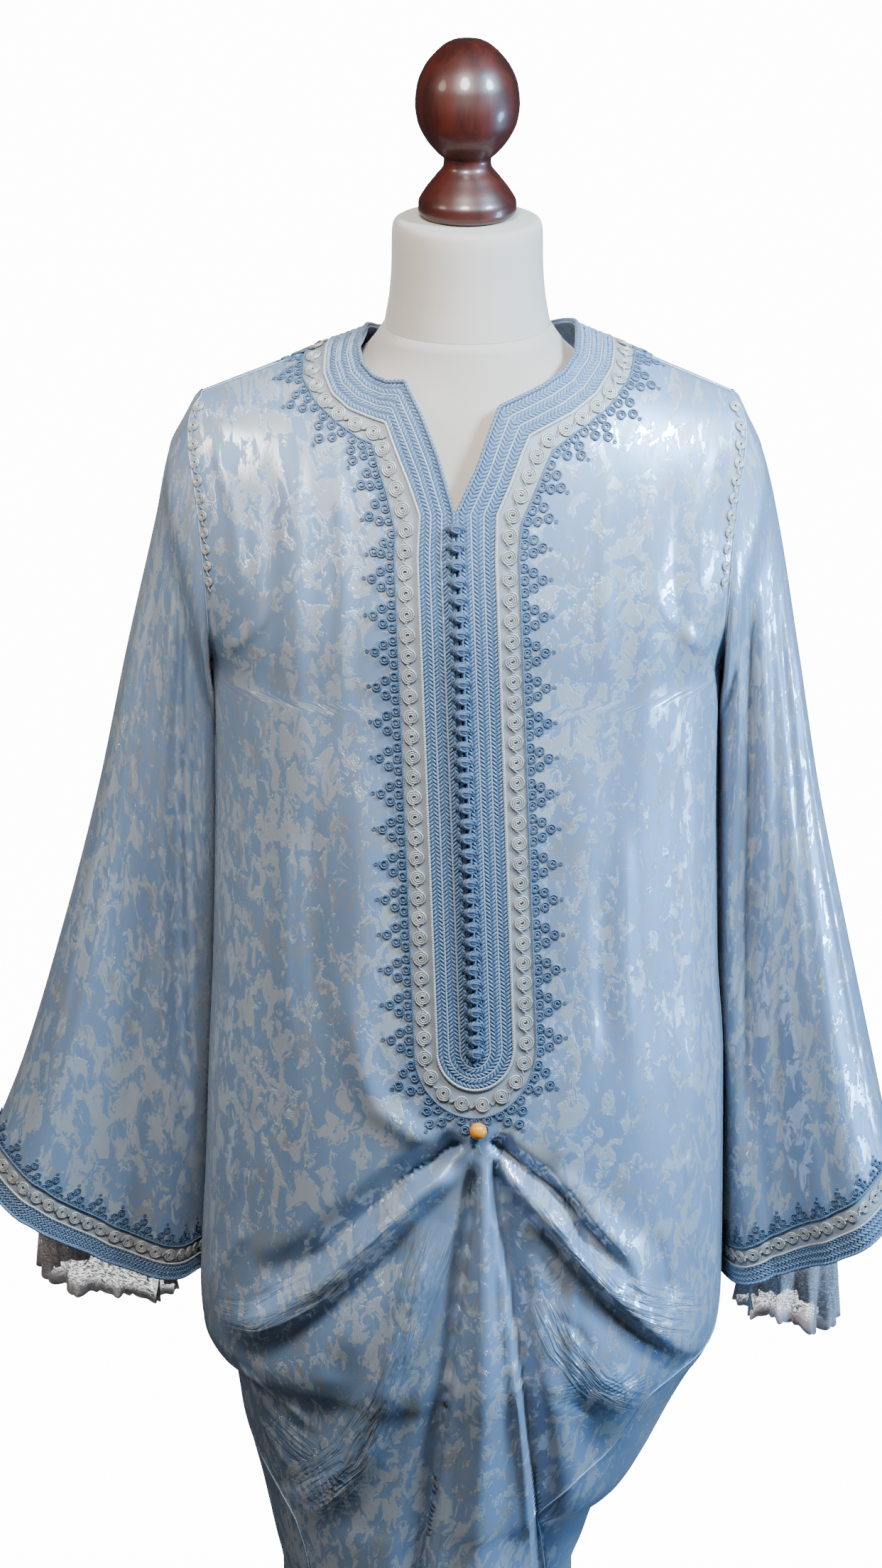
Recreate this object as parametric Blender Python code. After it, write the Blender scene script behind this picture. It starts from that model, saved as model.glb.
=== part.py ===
"""Kandura on a dress form: cloth walls, braid trims, buttons, bead, lace frills and the form under them.

Metres, +Z up. The origin is on the floor at the middle of the stand's base. The garment faces -Y, and +X is
the wearer's left.
"""

import math

import bpy
import numpy as np
from mathutils import Vector
from mathutils.bvhtree import BVHTree
from mathutils.kdtree import KDTree

# Cloth and seams
WALL = 0.0016
LACE_WALL = 0.0012
SEAM_GAP = 0.0003
TRIM_LIFT = 0.00045

# Heights of the garment
HEM_BACK_Z = 0.105
HEM_FRONT_RISE = 0.11
FREE_SKIRT_TOP_Z = 0.464
PLACKET_END_Z = 0.965
ARM_Z = 1.240
TIP_Z = 1.460
DOME_Z = 1.280
NECK_POINT_Z = 1.512
FRONT_NECK_TOP_Z = 1.545
BACK_NECK_TOP_Z = 1.545
NECK_LINE_LEFT = 0.070
NECK_LINE_RIGHT = 0.083
SHOULDER_TIP_X = 0.206

# Slit and placket, whose line leans a little
SLIT_X = -0.0094
SLIT_Z = 1.383
SLIT_LEAN = -0.0376
SLIT_GAP = 0.0006
BUTTON_LANE = 0.0054
BUTTON_COUNT = 35
BUTTON_TOP_Z = 1.3825
BUTTON_PITCH_TOP = 0.0135
BUTTON_RADIUS = 0.0045
BEAD_RADIUS = 0.0068
BEAD_Z = 0.9015

# Body sections: half-widths each side, depths, and the side seams' angles from the front centre
BODY_COLUMNS = ("z", "left", "right", "front", "back", "seam_left", "seam_right")
BODY = (
    (0.090, 0.165, 0.122, 0.150, 0.155, -50, 42),
    (0.200, 0.158, 0.110, 0.146, 0.148, -50, 46),
    (0.320, 0.150, 0.095, 0.140, 0.140, -50, 52),
    (0.464, 0.151, 0.088, 0.136, 0.134, -51, 54),
    (0.500, 0.158, 0.099, 0.136, 0.132, -50, 46),
    (0.534, 0.165, 0.112, 0.137, 0.131, -53, 38),
    (0.548, 0.168, 0.131, 0.138, 0.130, -58, 31),
    (0.580, 0.176, 0.151, 0.140, 0.130, -72, 37),
    (0.602, 0.181, 0.162, 0.142, 0.130, -82, 46),
    (0.622, 0.185, 0.172, 0.144, 0.130, -90, 49),
    (0.650, 0.190, 0.188, 0.148, 0.130, -90, 51),
    (0.664, 0.206, 0.198, 0.151, 0.130, -90, 60),
    (0.682, 0.214, 0.2045, 0.153, 0.130, -90, 84),
    (0.710, 0.2155, 0.2075, 0.153, 0.129, -90, 90),
    (0.750, 0.2135, 0.2075, 0.151, 0.127, -90, 90),
    (0.820, 0.2095, 0.2070, 0.147, 0.122, -90, 90),
    (0.909, 0.2060, 0.2060, 0.143, 0.114, -90, 90),
    (1.000, 0.2015, 0.2000, 0.136, 0.105, -90, 90),
    (1.147, 0.1980, 0.1980, 0.129, 0.102, -90, 90),
    (1.240, 0.2000, 0.2000, 0.127, 0.106, -90, 90),
    (1.290, 0.2180, 0.2180, 0.127, 0.110, -90, 90),
    (1.350, 0.2350, 0.2350, 0.126, 0.112, -90, 90),
    (1.460, 0.2400, 0.2400, 0.125, 0.112, -90, 90),
)

# Folds of the front: a path from the bead outwards, the height (mm, minus for a trough), the widths to the
# left and right of the walker along the path at its start and end (mm), the shares of the path over which it
# rises and falls, and whether its crest is a sharp crease
FOLD_COLUMNS = ("name", "path", "height", "left", "right", "rise", "fall", "sharp")
FRONT_FOLDS = (
    ("left crease", ((0.000, 0.896), (-0.046, 0.868), (-0.088, 0.832), (-0.124, 0.800), (-0.160, 0.785)),
     -15, (14, 22), (34, 56), 0.12, 0.35, False),
    ("left roll", ((-0.010, 0.874), (-0.044, 0.842), (-0.076, 0.808), (-0.108, 0.776), (-0.142, 0.750),
                   (-0.176, 0.732), (-0.204, 0.728)),
     15, (26, 44), (20, 36), 0.15, 0.15, False),
    ("left hollow", ((-0.020, 0.838), (-0.052, 0.776), (-0.094, 0.728), (-0.138, 0.694), (-0.180, 0.680)),
     -10, (22, 28), (26, 34), 0.20, 0.25, False),
    ("left swag", ((-0.014, 0.842), (-0.034, 0.776), (-0.060, 0.714), (-0.096, 0.660), (-0.140, 0.618),
                   (-0.176, 0.600)),
     10, (20, 34), (26, 40), 0.15, 0.20, False),
    ("flap trough left", ((-0.002, 0.888), (-0.010, 0.805), (-0.020, 0.725), (-0.030, 0.636),
                          (-0.042, 0.533), (-0.051, 0.400), (-0.056, 0.240)),
     -22, (12, 17), (26, 46), 0.10, 0.25, False),
    ("flap", ((0.006, 0.896), (0.0065, 0.805), (0.008, 0.718), (0.009, 0.629), (0.0105, 0.533),
              (0.010, 0.400), (0.008, 0.180)),
     14, (10, 46), (10, 44), 0.08, 0.02, False),
    ("flap trough right", ((0.013, 0.890), (0.023, 0.805), (0.035, 0.718), (0.045, 0.629), (0.056, 0.533),
                           (0.065, 0.400), (0.069, 0.240)),
     -18, (20, 40), (11, 16), 0.10, 0.25, False),
    ("right crease", ((0.017, 0.897), (0.036, 0.877), (0.056, 0.856), (0.073, 0.836), (0.095, 0.804),
                      (0.112, 0.778)),
     -13, (26, 38), (14, 20), 0.10, 0.40, False),
    ("right roll", ((0.026, 0.876), (0.050, 0.840), (0.070, 0.812), (0.096, 0.778), (0.126, 0.746),
                    (0.156, 0.720), (0.188, 0.706)),
     14, (18, 32), (24, 40), 0.15, 0.15, False),
    ("right hollow", ((0.034, 0.826), (0.060, 0.772), (0.091, 0.722), (0.129, 0.688), (0.172, 0.670)),
     -12, (26, 30), (26, 32), 0.20, 0.25, False),
    ("right second fold", ((0.087, 1.040), (0.085, 0.971), (0.073, 0.918), (0.070, 0.872), (0.086, 0.838),
                           (0.112, 0.806), (0.146, 0.775)),
     8, (18, 28), (14, 22), 0.20, 0.25, False),
    ("bust pleat left", ((-0.131, 1.455), (-0.130, 1.374), (-0.132, 1.280), (-0.128, 1.120)),
     4, (13, 20), (13, 20), 0.20, 0.45, False),
    ("bust pleat right", ((0.142, 1.440), (0.140, 1.350), (0.138, 1.250), (0.132, 1.120)),
     3, (13, 20), (13, 20), 0.20, 0.45, False),
    ("long pleat left", ((-0.082, 1.240), (-0.083, 1.090), (-0.080, 0.990), (-0.076, 0.905)),
     6, (26, 34), (26, 34), 0.35, 0.30, False),
    ("long pleat right", ((0.090, 1.240), (0.088, 1.125), (0.085, 1.060), (0.082, 0.980)),
     5, (24, 30), (24, 30), 0.35, 0.30, False),
    ("side trough left", ((-0.160, 1.230), (-0.162, 1.060), (-0.160, 0.920), (-0.158, 0.830)),
     -6, (26, 34), (24, 30), 0.25, 0.25, False),
    ("side trough right", ((0.158, 1.230), (0.160, 1.060), (0.158, 0.920), (0.156, 0.820)),
     -6, (24, 30), (26, 34), 0.25, 0.25, False),
)
BACK_FOLDS = (
    ("back pleat middle", ((0.004, 1.330), (0.002, 1.000), (-0.004, 0.600), (-0.008, 0.080)),
     9, (30, 52), (30, 50), 0.20, 0.02, False),
    ("back trough left", ((-0.066, 1.300), (-0.070, 1.000), (-0.076, 0.600), (-0.078, 0.080)),
     -9, (26, 34), (26, 38), 0.25, 0.02, False),
    ("back trough right", ((0.070, 1.290), (0.074, 1.000), (0.062, 0.600), (0.050, 0.080)),
     -8, (26, 34), (26, 34), 0.25, 0.02, False),
    ("back pleat left", ((-0.120, 1.220), (-0.128, 0.950), (-0.126, 0.600), (-0.118, 0.080)),
     7, (24, 34), (24, 32), 0.25, 0.02, False),
    ("back pleat right", ((0.124, 1.220), (0.130, 0.950), (0.112, 0.640), (0.092, 0.080)),
     6, (24, 30), (24, 32), 0.25, 0.02, False),
)

# Front edge from the V's bottom to the neck point, the outer side of the braid and of the coils, left side
TRIM_COLUMNS = ("edge_x", "edge_z", "braid_x", "braid_z", "coil_x", "coil_z")
TRIM_LEFT = (
    (-0.0098, 1.3935, -0.0373, 1.3917, -0.0532, 1.3800),
    (-0.0227, 1.4364, -0.0450, 1.4130, -0.0598, 1.4068),
    (-0.0345, 1.4640, -0.0556, 1.4380, -0.0670, 1.4275),
    (-0.0470, 1.4862, -0.0625, 1.4556, -0.0715, 1.4425),
    (-0.0600, 1.4842, -0.0745, 1.4580, -0.0822, 1.4455),
    (-0.0715, 1.4862, -0.0905, 1.4625, -0.0985, 1.4542),
    (-0.0798, 1.4930, -0.1035, 1.4708, -0.1150, 1.4662),
    (-0.0822, 1.5022, -0.1102, 1.4825, -0.1243, 1.4790),
    (-0.0770, 1.5093, -0.1075, 1.4977, -0.1225, 1.4919),
)
TRIM_RIGHT = (
    (-0.0092, 1.3935, 0.0234, 1.3920, 0.0392, 1.3850),
    (0.0072, 1.4280, 0.0335, 1.4145, 0.0487, 1.4063),
    (0.0155, 1.4510, 0.0425, 1.4370, 0.0572, 1.4255),
    (0.0235, 1.4705, 0.0478, 1.4482, 0.0635, 1.4385),
    (0.0400, 1.4768, 0.0640, 1.4552, 0.0770, 1.4470),
    (0.0560, 1.4825, 0.0800, 1.4615, 0.0900, 1.4540),
    (0.0715, 1.4898, 0.0985, 1.4722, 0.1080, 1.4650),
    (0.0825, 1.5000, 0.1112, 1.4868, 0.1235, 1.4810),
    (0.0835, 1.5118, 0.1140, 1.5001, 0.1285, 1.4946),
)
BRAID_WIDTH = 0.0300
COIL_END = 0.0445
POINT_LENGTH = 0.0240
POINT_PITCH = 0.0260
COIL_PITCH = 0.0157
BRAID_HEIGHT = 0.0016
CORD_HEIGHT = 0.0007
COIL_HEIGHT = 0.0024
POINT_HEIGHT = 0.0014
BACK_NECK_DEPTH = 0.0735

# Armhole height against its half-width
ARM_COLUMNS = ("z", "x")
ARM = ((1.240, 0.2000), (1.300, 0.2030), (1.360, 0.2050), (1.420, 0.2060), (1.470, 0.2060))

# Sleeves, by the share v of the way from armhole to cuff
SLEEVE_COLUMNS = ("v", "outer_x", "outer_z", "inner_x", "inner_z", "outer_y", "inner_y", "front", "back", "bow")
SLEEVE_LEFT = (
    (0.00, 0.2064, 1.460, 0.2004, 1.240, 0.000, 0.000, 0.062, 0.062, 0.000),
    (0.07, 0.2310, 1.416, 0.2052, 1.202, 0.004, 0.018, 0.058, 0.058, 0.000),
    (0.16, 0.2430, 1.358, 0.2040, 1.152, 0.006, 0.032, 0.052, 0.054, 0.002),
    (0.33, 0.2680, 1.249, 0.2022, 1.062, 0.008, 0.042, 0.046, 0.050, 0.005),
    (0.51, 0.2930, 1.131, 0.2035, 0.964, 0.008, 0.048, 0.046, 0.050, 0.008),
    (0.69, 0.3235, 1.015, 0.2052, 0.866, 0.006, 0.052, 0.052, 0.054, 0.011),
    (0.86, 0.3595, 0.897, 0.2080, 0.778, 0.004, 0.056, 0.058, 0.060, 0.014),
    (1.00, 0.3945, 0.812, 0.2110, 0.707, 0.002, 0.060, 0.062, 0.064, 0.017),
)
SLEEVE_RIGHT = (
    (0.00, 0.2064, 1.460, 0.2004, 1.240, 0.000, 0.000, 0.062, 0.062, 0.000),
    (0.07, 0.2290, 1.416, 0.2052, 1.202, 0.004, 0.018, 0.058, 0.058, 0.000),
    (0.16, 0.2430, 1.358, 0.2040, 1.152, 0.006, 0.032, 0.052, 0.054, 0.002),
    (0.33, 0.2615, 1.249, 0.2018, 1.062, 0.008, 0.042, 0.046, 0.050, 0.004),
    (0.51, 0.2805, 1.131, 0.2022, 0.964, 0.008, 0.048, 0.046, 0.050, 0.006),
    (0.69, 0.3045, 1.015, 0.2036, 0.866, 0.006, 0.052, 0.052, 0.054, 0.008),
    (0.86, 0.3300, 0.897, 0.2046, 0.778, 0.004, 0.056, 0.058, 0.060, 0.010),
    (1.00, 0.3540, 0.783, 0.2060, 0.704, 0.002, 0.060, 0.062, 0.064, 0.012),
)
SLEEVE_FOLDS_LEFT = (
    (128, 9, 24, 0.05),
    (152, -9, 16, 0.08),
    (88, -5, 22, 0.30),
    (52, 6, 22, 0.25),
    (232, 7, 24, 0.20),
    (268, -8, 22, 0.20),
    (304, 6, 22, 0.25),
)
SLEEVE_FOLDS_RIGHT = (
    (132, 10, 22, 0.05),
    (154, -9, 15, 0.08),
    (96, -8, 24, 0.35),
    (56, 9, 24, 0.30),
    (236, 7, 24, 0.20),
    (272, -7, 22, 0.20),
    (306, 6, 22, 0.25),
)
SLEEVE_ROWS = (0, 0.035, 0.08, 0.15, 0.25, 0.37, 0.50, 0.63, 0.75, 0.84, 0.889, 0.929, 0.953, 1)
SLEEVE_AROUND = 20
ARM_GAP = 0.0007
LIFT_ROUNDS = 5
FACET_STEPS = 5
CUFF_BRAID = (0.953, 0.9985)
CUFF_COILS = (0.931, 0.951)
CUFF_POINTS = (0.889, 0.929)
CUFF_COIL_COUNT = 33
CUFF_POINT_COUNT = 20
FRILL_WAVES = 10
FRILL_SEAM_V = 0.945
FRILL_SEAM_INSET = 0.0054
FRILL_COLUMNS = ("middle_x", "half_x", "middle_y", "half_y", "outer_low_z", "inner_low_z")
FRILL_LEFT = (0.294, 0.053, 0.034, 0.036, 0.704, 0.688)
FRILL_RIGHT = (0.264, 0.039, 0.035, 0.033, 0.658, 0.678)
FRILL_ROW_COLUMNS = ("share_down", "wave")
FRILL_ROWS = ((0.0, 0.0012), (0.5, 0.0032), (1.0, 0.0056))

# Dress form, stand and finial
FORM_COLUMNS = ("z", "half", "front", "back")
FORM = (
    (0.760, 0.140, 0.088, 0.092),
    (0.772, 0.152, 0.096, 0.100),
    (0.820, 0.163, 0.104, 0.108),
    (0.900, 0.164, 0.105, 0.106),
    (1.000, 0.146, 0.098, 0.090),
    (1.060, 0.134, 0.092, 0.083),
    (1.150, 0.142, 0.104, 0.084),
    (1.240, 0.154, 0.114, 0.088),
    (1.310, 0.164, 0.115, 0.092),
    (1.360, 0.170, 0.109, 0.094),
    (1.396, 0.172, 0.101, 0.092),
    (1.430, 0.160, 0.091, 0.083),
    (1.460, 0.1312, 0.0807, 0.0737),
    (1.480, 0.0971, 0.0723, 0.0667),
    (1.496, 0.0769, 0.0678, 0.0648),
    (1.508, 0.0680, 0.0655, 0.0645),
    (1.5130, 0.0650, 0.0650, 0.0640),
)
NECK_PROFILE = (
    (0.0645, 1.5133), (0.0632, 1.520), (0.0600, 1.540), (0.0585, 1.562), (0.0582, 1.584), (0.0576, 1.5915),
    (0.0556, 1.5955), (0.0520, 1.5970),
)
FINIAL_PROFILE = (
    (0.0300, 1.5973), (0.0345, 1.5990), (0.0378, 1.6035), (0.0378, 1.6090), (0.0335, 1.6180),
    (0.0245, 1.6300), (0.0185, 1.6385), (0.0182, 1.6430), (0.0230, 1.6480), (0.0320, 1.6590),
    (0.0385, 1.6730), (0.0402, 1.6860), (0.0388, 1.7000), (0.0340, 1.7130), (0.0260, 1.7240),
    (0.0170, 1.7320), (0.0120, 1.7345),
)
POLE_RADIUS = 0.0150
POLE_FOOT_Z = 0.0263
BASE_RADIUS = 0.190
BASE_PROFILE = (
    (0.190, 0.0000), (0.192, 0.0020), (0.192, 0.0150), (0.186, 0.0200), (0.060, 0.0240), (0.034, 0.0260),
)

COLOURS = {
    "satin": ((0.50, 0.66, 0.82, 1), 0.38, 0.0),
    "braid": ((0.30, 0.46, 0.66, 1), 0.60, 0.0),
    "silver": ((0.78, 0.80, 0.80, 1), 0.35, 0.6),
    "points": ((0.24, 0.40, 0.60, 1), 0.60, 0.0),
    "button": ((0.10, 0.19, 0.36, 1), 0.60, 0.0),
    "bead": ((0.85, 0.40, 0.07, 1), 0.35, 0.0),
    "lace": ((0.86, 0.82, 0.82, 1), 0.80, 0.0),
    "jersey": ((0.86, 0.83, 0.76, 1), 0.90, 0.0),
    "mahogany": ((0.20, 0.035, 0.015, 1), 0.25, 0.0),
    "steel": ((0.45, 0.45, 0.46, 1), 0.40, 0.9),
}


def material(name):
    """One plain material for each kind of surface."""
    found = bpy.data.materials.get(name)
    if found:
        return found
    colour, roughness, metallic = COLOURS[name]
    made = bpy.data.materials.new(name)
    made.use_nodes = True
    shader = made.node_tree.nodes["Principled BSDF"]
    shader.inputs["Base Color"].default_value = colour
    shader.inputs["Roughness"].default_value = roughness
    shader.inputs["Metallic"].default_value = metallic
    made.diffuse_color = colour
    return made


def add_object(name, points, faces, finish, smooth=True):
    """A named object from points and faces, with its material."""
    mesh = bpy.data.meshes.new(name)
    mesh.from_pydata([tuple(map(float, point)) for point in points], [], faces)
    mesh.validate()
    mesh.update()
    if smooth:
        mesh.shade_smooth()
        mesh.set_sharp_from_angle(angle=math.radians(60))
    mesh.materials.append(material(finish))
    made = bpy.data.objects.new(name, mesh)
    bpy.context.scene.collection.objects.link(made)
    return made


def sheet_normals(points, faces):
    """Unit direction away from the cloth at each point of a sheet."""
    places = np.array([tuple(point) for point in points], float)
    corners = places[np.array(faces)]
    crosses = np.cross(corners[:, 1] - corners[:, 0], corners[:, 2] - corners[:, 0])
    normals = np.zeros_like(places)
    for corner in range(3):
        np.add.at(normals, np.array(faces)[:, corner], crosses)
    return normals / np.linalg.norm(normals, axis=1, keepdims=True)


def cloth_wall(name, points, faces, normals, finish, thickness):
    """A closed wall whose outer side is the sheet."""
    places = np.array([tuple(point) for point in points], float)
    count = len(places)
    edges = {}
    for a, b, c in faces:
        for edge in ((a, b), (b, c), (c, a)):
            edges[edge] = edges.get(edge, 0) + 1
    inner = [tuple(number + count for number in face[::-1]) for face in faces]
    rim = []
    for a, b in edges:
        if (b, a) not in edges:
            rim += [(b, a, a + count), (b, a + count, b + count)]
    everything = np.concatenate([places, places - normals * thickness])
    return add_object(name, everything, list(faces) + inner + rim, finish)


def seam_normals(sheets, reach=0.0028):
    """Normals of the sheets, the same on both sides of a seam so that the two walls stay apart."""
    normals = [sheet_normals(points, faces) for points, faces in sheets]
    (front_points, _), (back_points, _) = sheets
    finder = KDTree(len(back_points))
    for number, point in enumerate(back_points):
        finder.insert(point, number)
    finder.balance()
    for number, point in enumerate(front_points):
        _, other, distance = finder.find(point)
        if distance < reach:
            both = normals[0][number] + normals[1][other]
            normals[0][number] = normals[1][other] = both / np.linalg.norm(both)
    for (points, _), found in zip(sheets, normals):
        for number, point in enumerate(points):
            if abs(point[1]) < SEAM_GAP:
                found[number][1] = 0
                found[number] /= np.linalg.norm(found[number])
    return normals


def column(rows, names, name, at):
    """Monotone cubic through one named column of a table, over its first column."""
    grid = np.array([row[0] for row in rows], float)
    values = np.array([row[names.index(name)] for row in rows], float)
    at = np.clip(np.asarray(at, float), grid[0], grid[-1])
    step = np.diff(grid)
    slope = np.diff(values) / step
    tangent = np.zeros_like(values)
    same = slope[:-1] * slope[1:] > 0
    tangent[1:-1][same] = 2 * slope[:-1][same] * slope[1:][same] / (slope[:-1] + slope[1:])[same]
    k = np.clip(np.searchsorted(grid, at, side="right") - 1, 0, len(grid) - 2)
    t = (at - grid[k]) / step[k]
    start = values[k] * (1 + 2 * t) * (1 - t) ** 2 + step[k] * tangent[k] * t * (1 - t) ** 2
    end = values[k + 1] * t * t * (3 - 2 * t) - step[k] * tangent[k + 1] * t * t * (1 - t)
    return start + end


def body(name, z):
    return column(BODY, BODY_COLUMNS, name, z)


def ease(t):
    t = np.clip(t, 0, 1)
    return t * t * (3 - 2 * t)


def fold_height(folds, x, z):
    """Sum of the folds' heights at points x, z of the panel, in metres."""
    x, z = np.broadcast_arrays(np.asarray(x, float), np.asarray(z, float))
    total = np.zeros(x.shape)
    for _, path, height, left, right, rise, fall, sharp in folds:
        path = np.array(path, float)
        lengths = np.hypot(*np.diff(path, axis=0).T)
        starts = np.concatenate([[0], np.cumsum(lengths)])
        nearest = np.full(x.shape, 1e9)
        side = np.zeros(x.shape)
        along = np.zeros(x.shape)
        for k, length in enumerate(lengths):
            ux, uz = (path[k + 1] - path[k]) / length
            dx, dz = x - path[k][0], z - path[k][1]
            t = np.clip(dx * ux + dz * uz, 0, length)
            away = np.hypot(dx - t * ux, dz - t * uz)
            closer = away < nearest
            nearest = np.where(closer, away, nearest)
            side = np.where(closer, ux * dz - uz * dx, side)
            along = np.where(closer, (starts[k] + t) / starts[-1], along)
        width = np.where(side > 0, left[0] + (left[1] - left[0]) * along, right[0] + (right[1] - right[0]) * along)
        near = np.clip(1 - nearest * 1000 / width, 0, 1)
        shape = near**1.6 if sharp else ease(near)
        strength = ease(along / rise) * ease((1 - along) / fall)
        total += height / 1000 * shape * strength
    return total


def shoulder_top(x, neck_top):
    """Height over x at which the front and the back meet, carried on over the neck to neck_top."""
    x = np.asarray(x, float)
    neck = np.where(x < 0, NECK_LINE_LEFT, NECK_LINE_RIGHT)
    out = np.clip((np.abs(x) - neck) / (SHOULDER_TIP_X - neck), 0, 1.3)
    inner = np.clip(np.abs(x) / neck, 0, 1)
    return NECK_POINT_Z - (NECK_POINT_Z - TIP_Z) * out + (neck_top - NECK_POINT_Z) * (1 - inner**2)


def section(x, z):
    """Share of the full depth at x on the section at height z, from 1 at the middle to 0 at the sides."""
    left, right = body("left", z), body("right", z)
    ratio = np.clip((x - (right - left) / 2) / ((left + right) / 2), -1, 1)
    return np.sqrt(1 - ratio**2)


def dome(x, z, neck_top):
    rise = np.clip((z - DOME_Z) / (shoulder_top(x, neck_top) - DOME_Z), 0, 1)
    return np.sqrt(1 - rise**2)


def front_y(x, z):
    share = section(x, z)
    cloth = body("front", z) * share**0.85 * dome(x, z, FRONT_NECK_TOP_Z)
    return -(cloth + fold_height(FRONT_FOLDS, x, z) * share**0.5 * dome(x, z, FRONT_NECK_TOP_Z) + SEAM_GAP / 2)


def back_y(x, z):
    share = section(x, z)
    cloth = body("back", z) * share**0.9 * dome(x, z, BACK_NECK_TOP_Z)
    return cloth + fold_height(BACK_FOLDS, x, z) * share**0.5 * dome(x, z, BACK_NECK_TOP_Z) + SEAM_GAP / 2


def slit_x(z):
    return SLIT_X + SLIT_LEAN * (z - SLIT_Z)


def arm_x(z):
    return column(ARM, ARM_COLUMNS, "x", z)


def side_seam(name, z):
    """Angle of a side seam from the front centre, and the share of it that keeps the two walls a gap apart."""
    angle = math.radians(float(body(name, z)))
    if abs(angle) > math.radians(89.9):
        return angle, 0.0
    half = float(body("left", z) + body("right", z)) / 2
    reach = 0.01
    lean = half * math.radians(float(body(name, z + reach) - body(name, z - reach))) / (2 * reach)
    return angle, SEAM_GAP / 2 / half * math.hypot(1, lean)


def hem_z(angle):
    return HEM_BACK_Z + HEM_FRONT_RISE * np.clip(np.cos(angle), 0, 1) ** 2


def tube_point(angle, z):
    """Point of the body's tube at an angle from the front centre, below the armholes."""
    left, right = body("left", z), body("right", z)
    x = (right - left) / 2 + (left + right) / 2 * math.sin(angle)
    if math.cos(angle) > 0:
        return x, float(front_y(x, z)), z
    return x, float(back_y(x, z)), z


def grid_faces(rows, columns, index, closed=False, turn=None):
    """Triangles of a grid of points, where index(row, column) gives a point's number.

    turn(a, b, c, d) says whether a cell is parted from b to d, which follows a fold that runs that way.
    """
    faces = []
    for i in range(rows - 1):
        for j in range(columns if closed else columns - 1):
            a, b = index(i, j), index(i, (j + 1) % columns)
            c, d = index(i + 1, (j + 1) % columns), index(i + 1, j)
            if turn and turn(a, b, c, d):
                faces += [(a, b, d), (b, c, d)]
            else:
                faces += [(a, b, c), (a, c, d)]
    return faces


def follows_fold(points, surface):
    """A test for grid_faces: which of a cell's diagonals lies closer to the surface."""
    def turn(*cell):
        a, b, c, d = (np.array(points[number], float) for number in cell)
        misses = []
        for one, other in ((a, c), (b, d)):
            middle = (one + other) / 2
            misses.append(abs(float(surface(middle[0], middle[2])) - middle[1]))
        return misses[1] < misses[0]
    return turn


DRAPE_ROWS = (
    0.464, 0.500, 0.534, 0.562, 0.592, 0.622, 0.648, 0.668, 0.688, 0.710, 0.733, 0.756, 0.779, 0.802, 0.825,
    0.848, 0.871, 0.894,
)
DRAPE_TOP_Z = 0.918


def lower_rows():
    """(share of the free skirt's height or None, height) of each row below the armholes."""
    free = [(share, HEM_BACK_Z + share * (FREE_SKIRT_TOP_Z - HEM_BACK_Z)) for share in (0, 0.2, 0.4, 0.6, 0.8)]
    drape = [(None, z) for z in DRAPE_ROWS]
    plain = [(None, z) for z in np.linspace(DRAPE_TOP_Z, ARM_Z, 7, endpoint=False)]
    return free + drape + plain


FRONT_COLUMNS_LEFT = 11
FRONT_COLUMNS_RIGHT = 11
# Shares of the way from the slit's line to the side seam, closer together over the flap
LOWER_SHARES = (0, 0.065, 0.130, 0.200, 0.275, 0.360, 0.455, 0.565, 0.690, 0.835, 1)
ARM_ROWS = (1.240, 1.262, 1.285, 1.310, 1.335, 1.358, 1.380, 1.402, 1.420, 1.434, 1.446, 1.454, 1.460)


def front_halves():
    """Points of the front's left and right halves, each row from the slit's line outwards."""
    left_half, right_half = [], []
    for share, z in lower_rows():
        middle = (body("right", z) - body("left", z)) / 2
        half = (body("left", z) + body("right", z)) / 2
        slit_angle = math.asin((slit_x(z) - middle) / half)
        for rows, seam, columns, side in (
            (left_half, "seam_left", FRONT_COLUMNS_LEFT, -1),
            (right_half, "seam_right", FRONT_COLUMNS_RIGHT, 1),
        ):
            seam_angle, inset = side_seam(seam, z)
            seam_angle -= side * inset
            row = []
            for part in np.interp(np.linspace(0, 1, columns), np.linspace(0, 1, len(LOWER_SHARES)), LOWER_SHARES):
                angle = slit_angle + part * (seam_angle - slit_angle)
                height = z
                if share is not None:
                    height = hem_z(angle) + share * (FREE_SKIRT_TOP_Z - hem_z(angle))
                row.append(tube_point(float(angle), float(height)))
            if z > PLACKET_END_Z + 0.001:
                x = slit_x(z) + side * SLIT_GAP / 2
                row[0] = (x, float(front_y(x, z)), z)
            rows.append(row)
    slit_rows = list(np.linspace(ARM_Z, TRIM_LEFT[0][1], 5)[:-1])
    for rows, table, columns, side in (
        (left_half, TRIM_LEFT, FRONT_COLUMNS_LEFT, -1),
        (right_half, TRIM_RIGHT, FRONT_COLUMNS_RIGHT, 1),
    ):
        edges = [(slit_x(z) + side * SLIT_GAP / 2, z) for z in slit_rows] + [row[:2] for row in table]
        for (edge_x, edge_z), arm_z in zip(edges, ARM_ROWS):
            row = []
            for t in np.linspace(0, 1, columns):
                share = math.sin(t * math.pi / 2) * 0.35 + t * 0.65
                x = edge_x + share * (side * float(arm_x(arm_z)) - edge_x)
                z = edge_z + share * (arm_z - edge_z)
                z = min(z, float(shoulder_top(x, FRONT_NECK_TOP_Z)))
                row.append((x, float(front_y(x, z)), z))
            rows.append(row)
    return left_half, right_half


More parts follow.
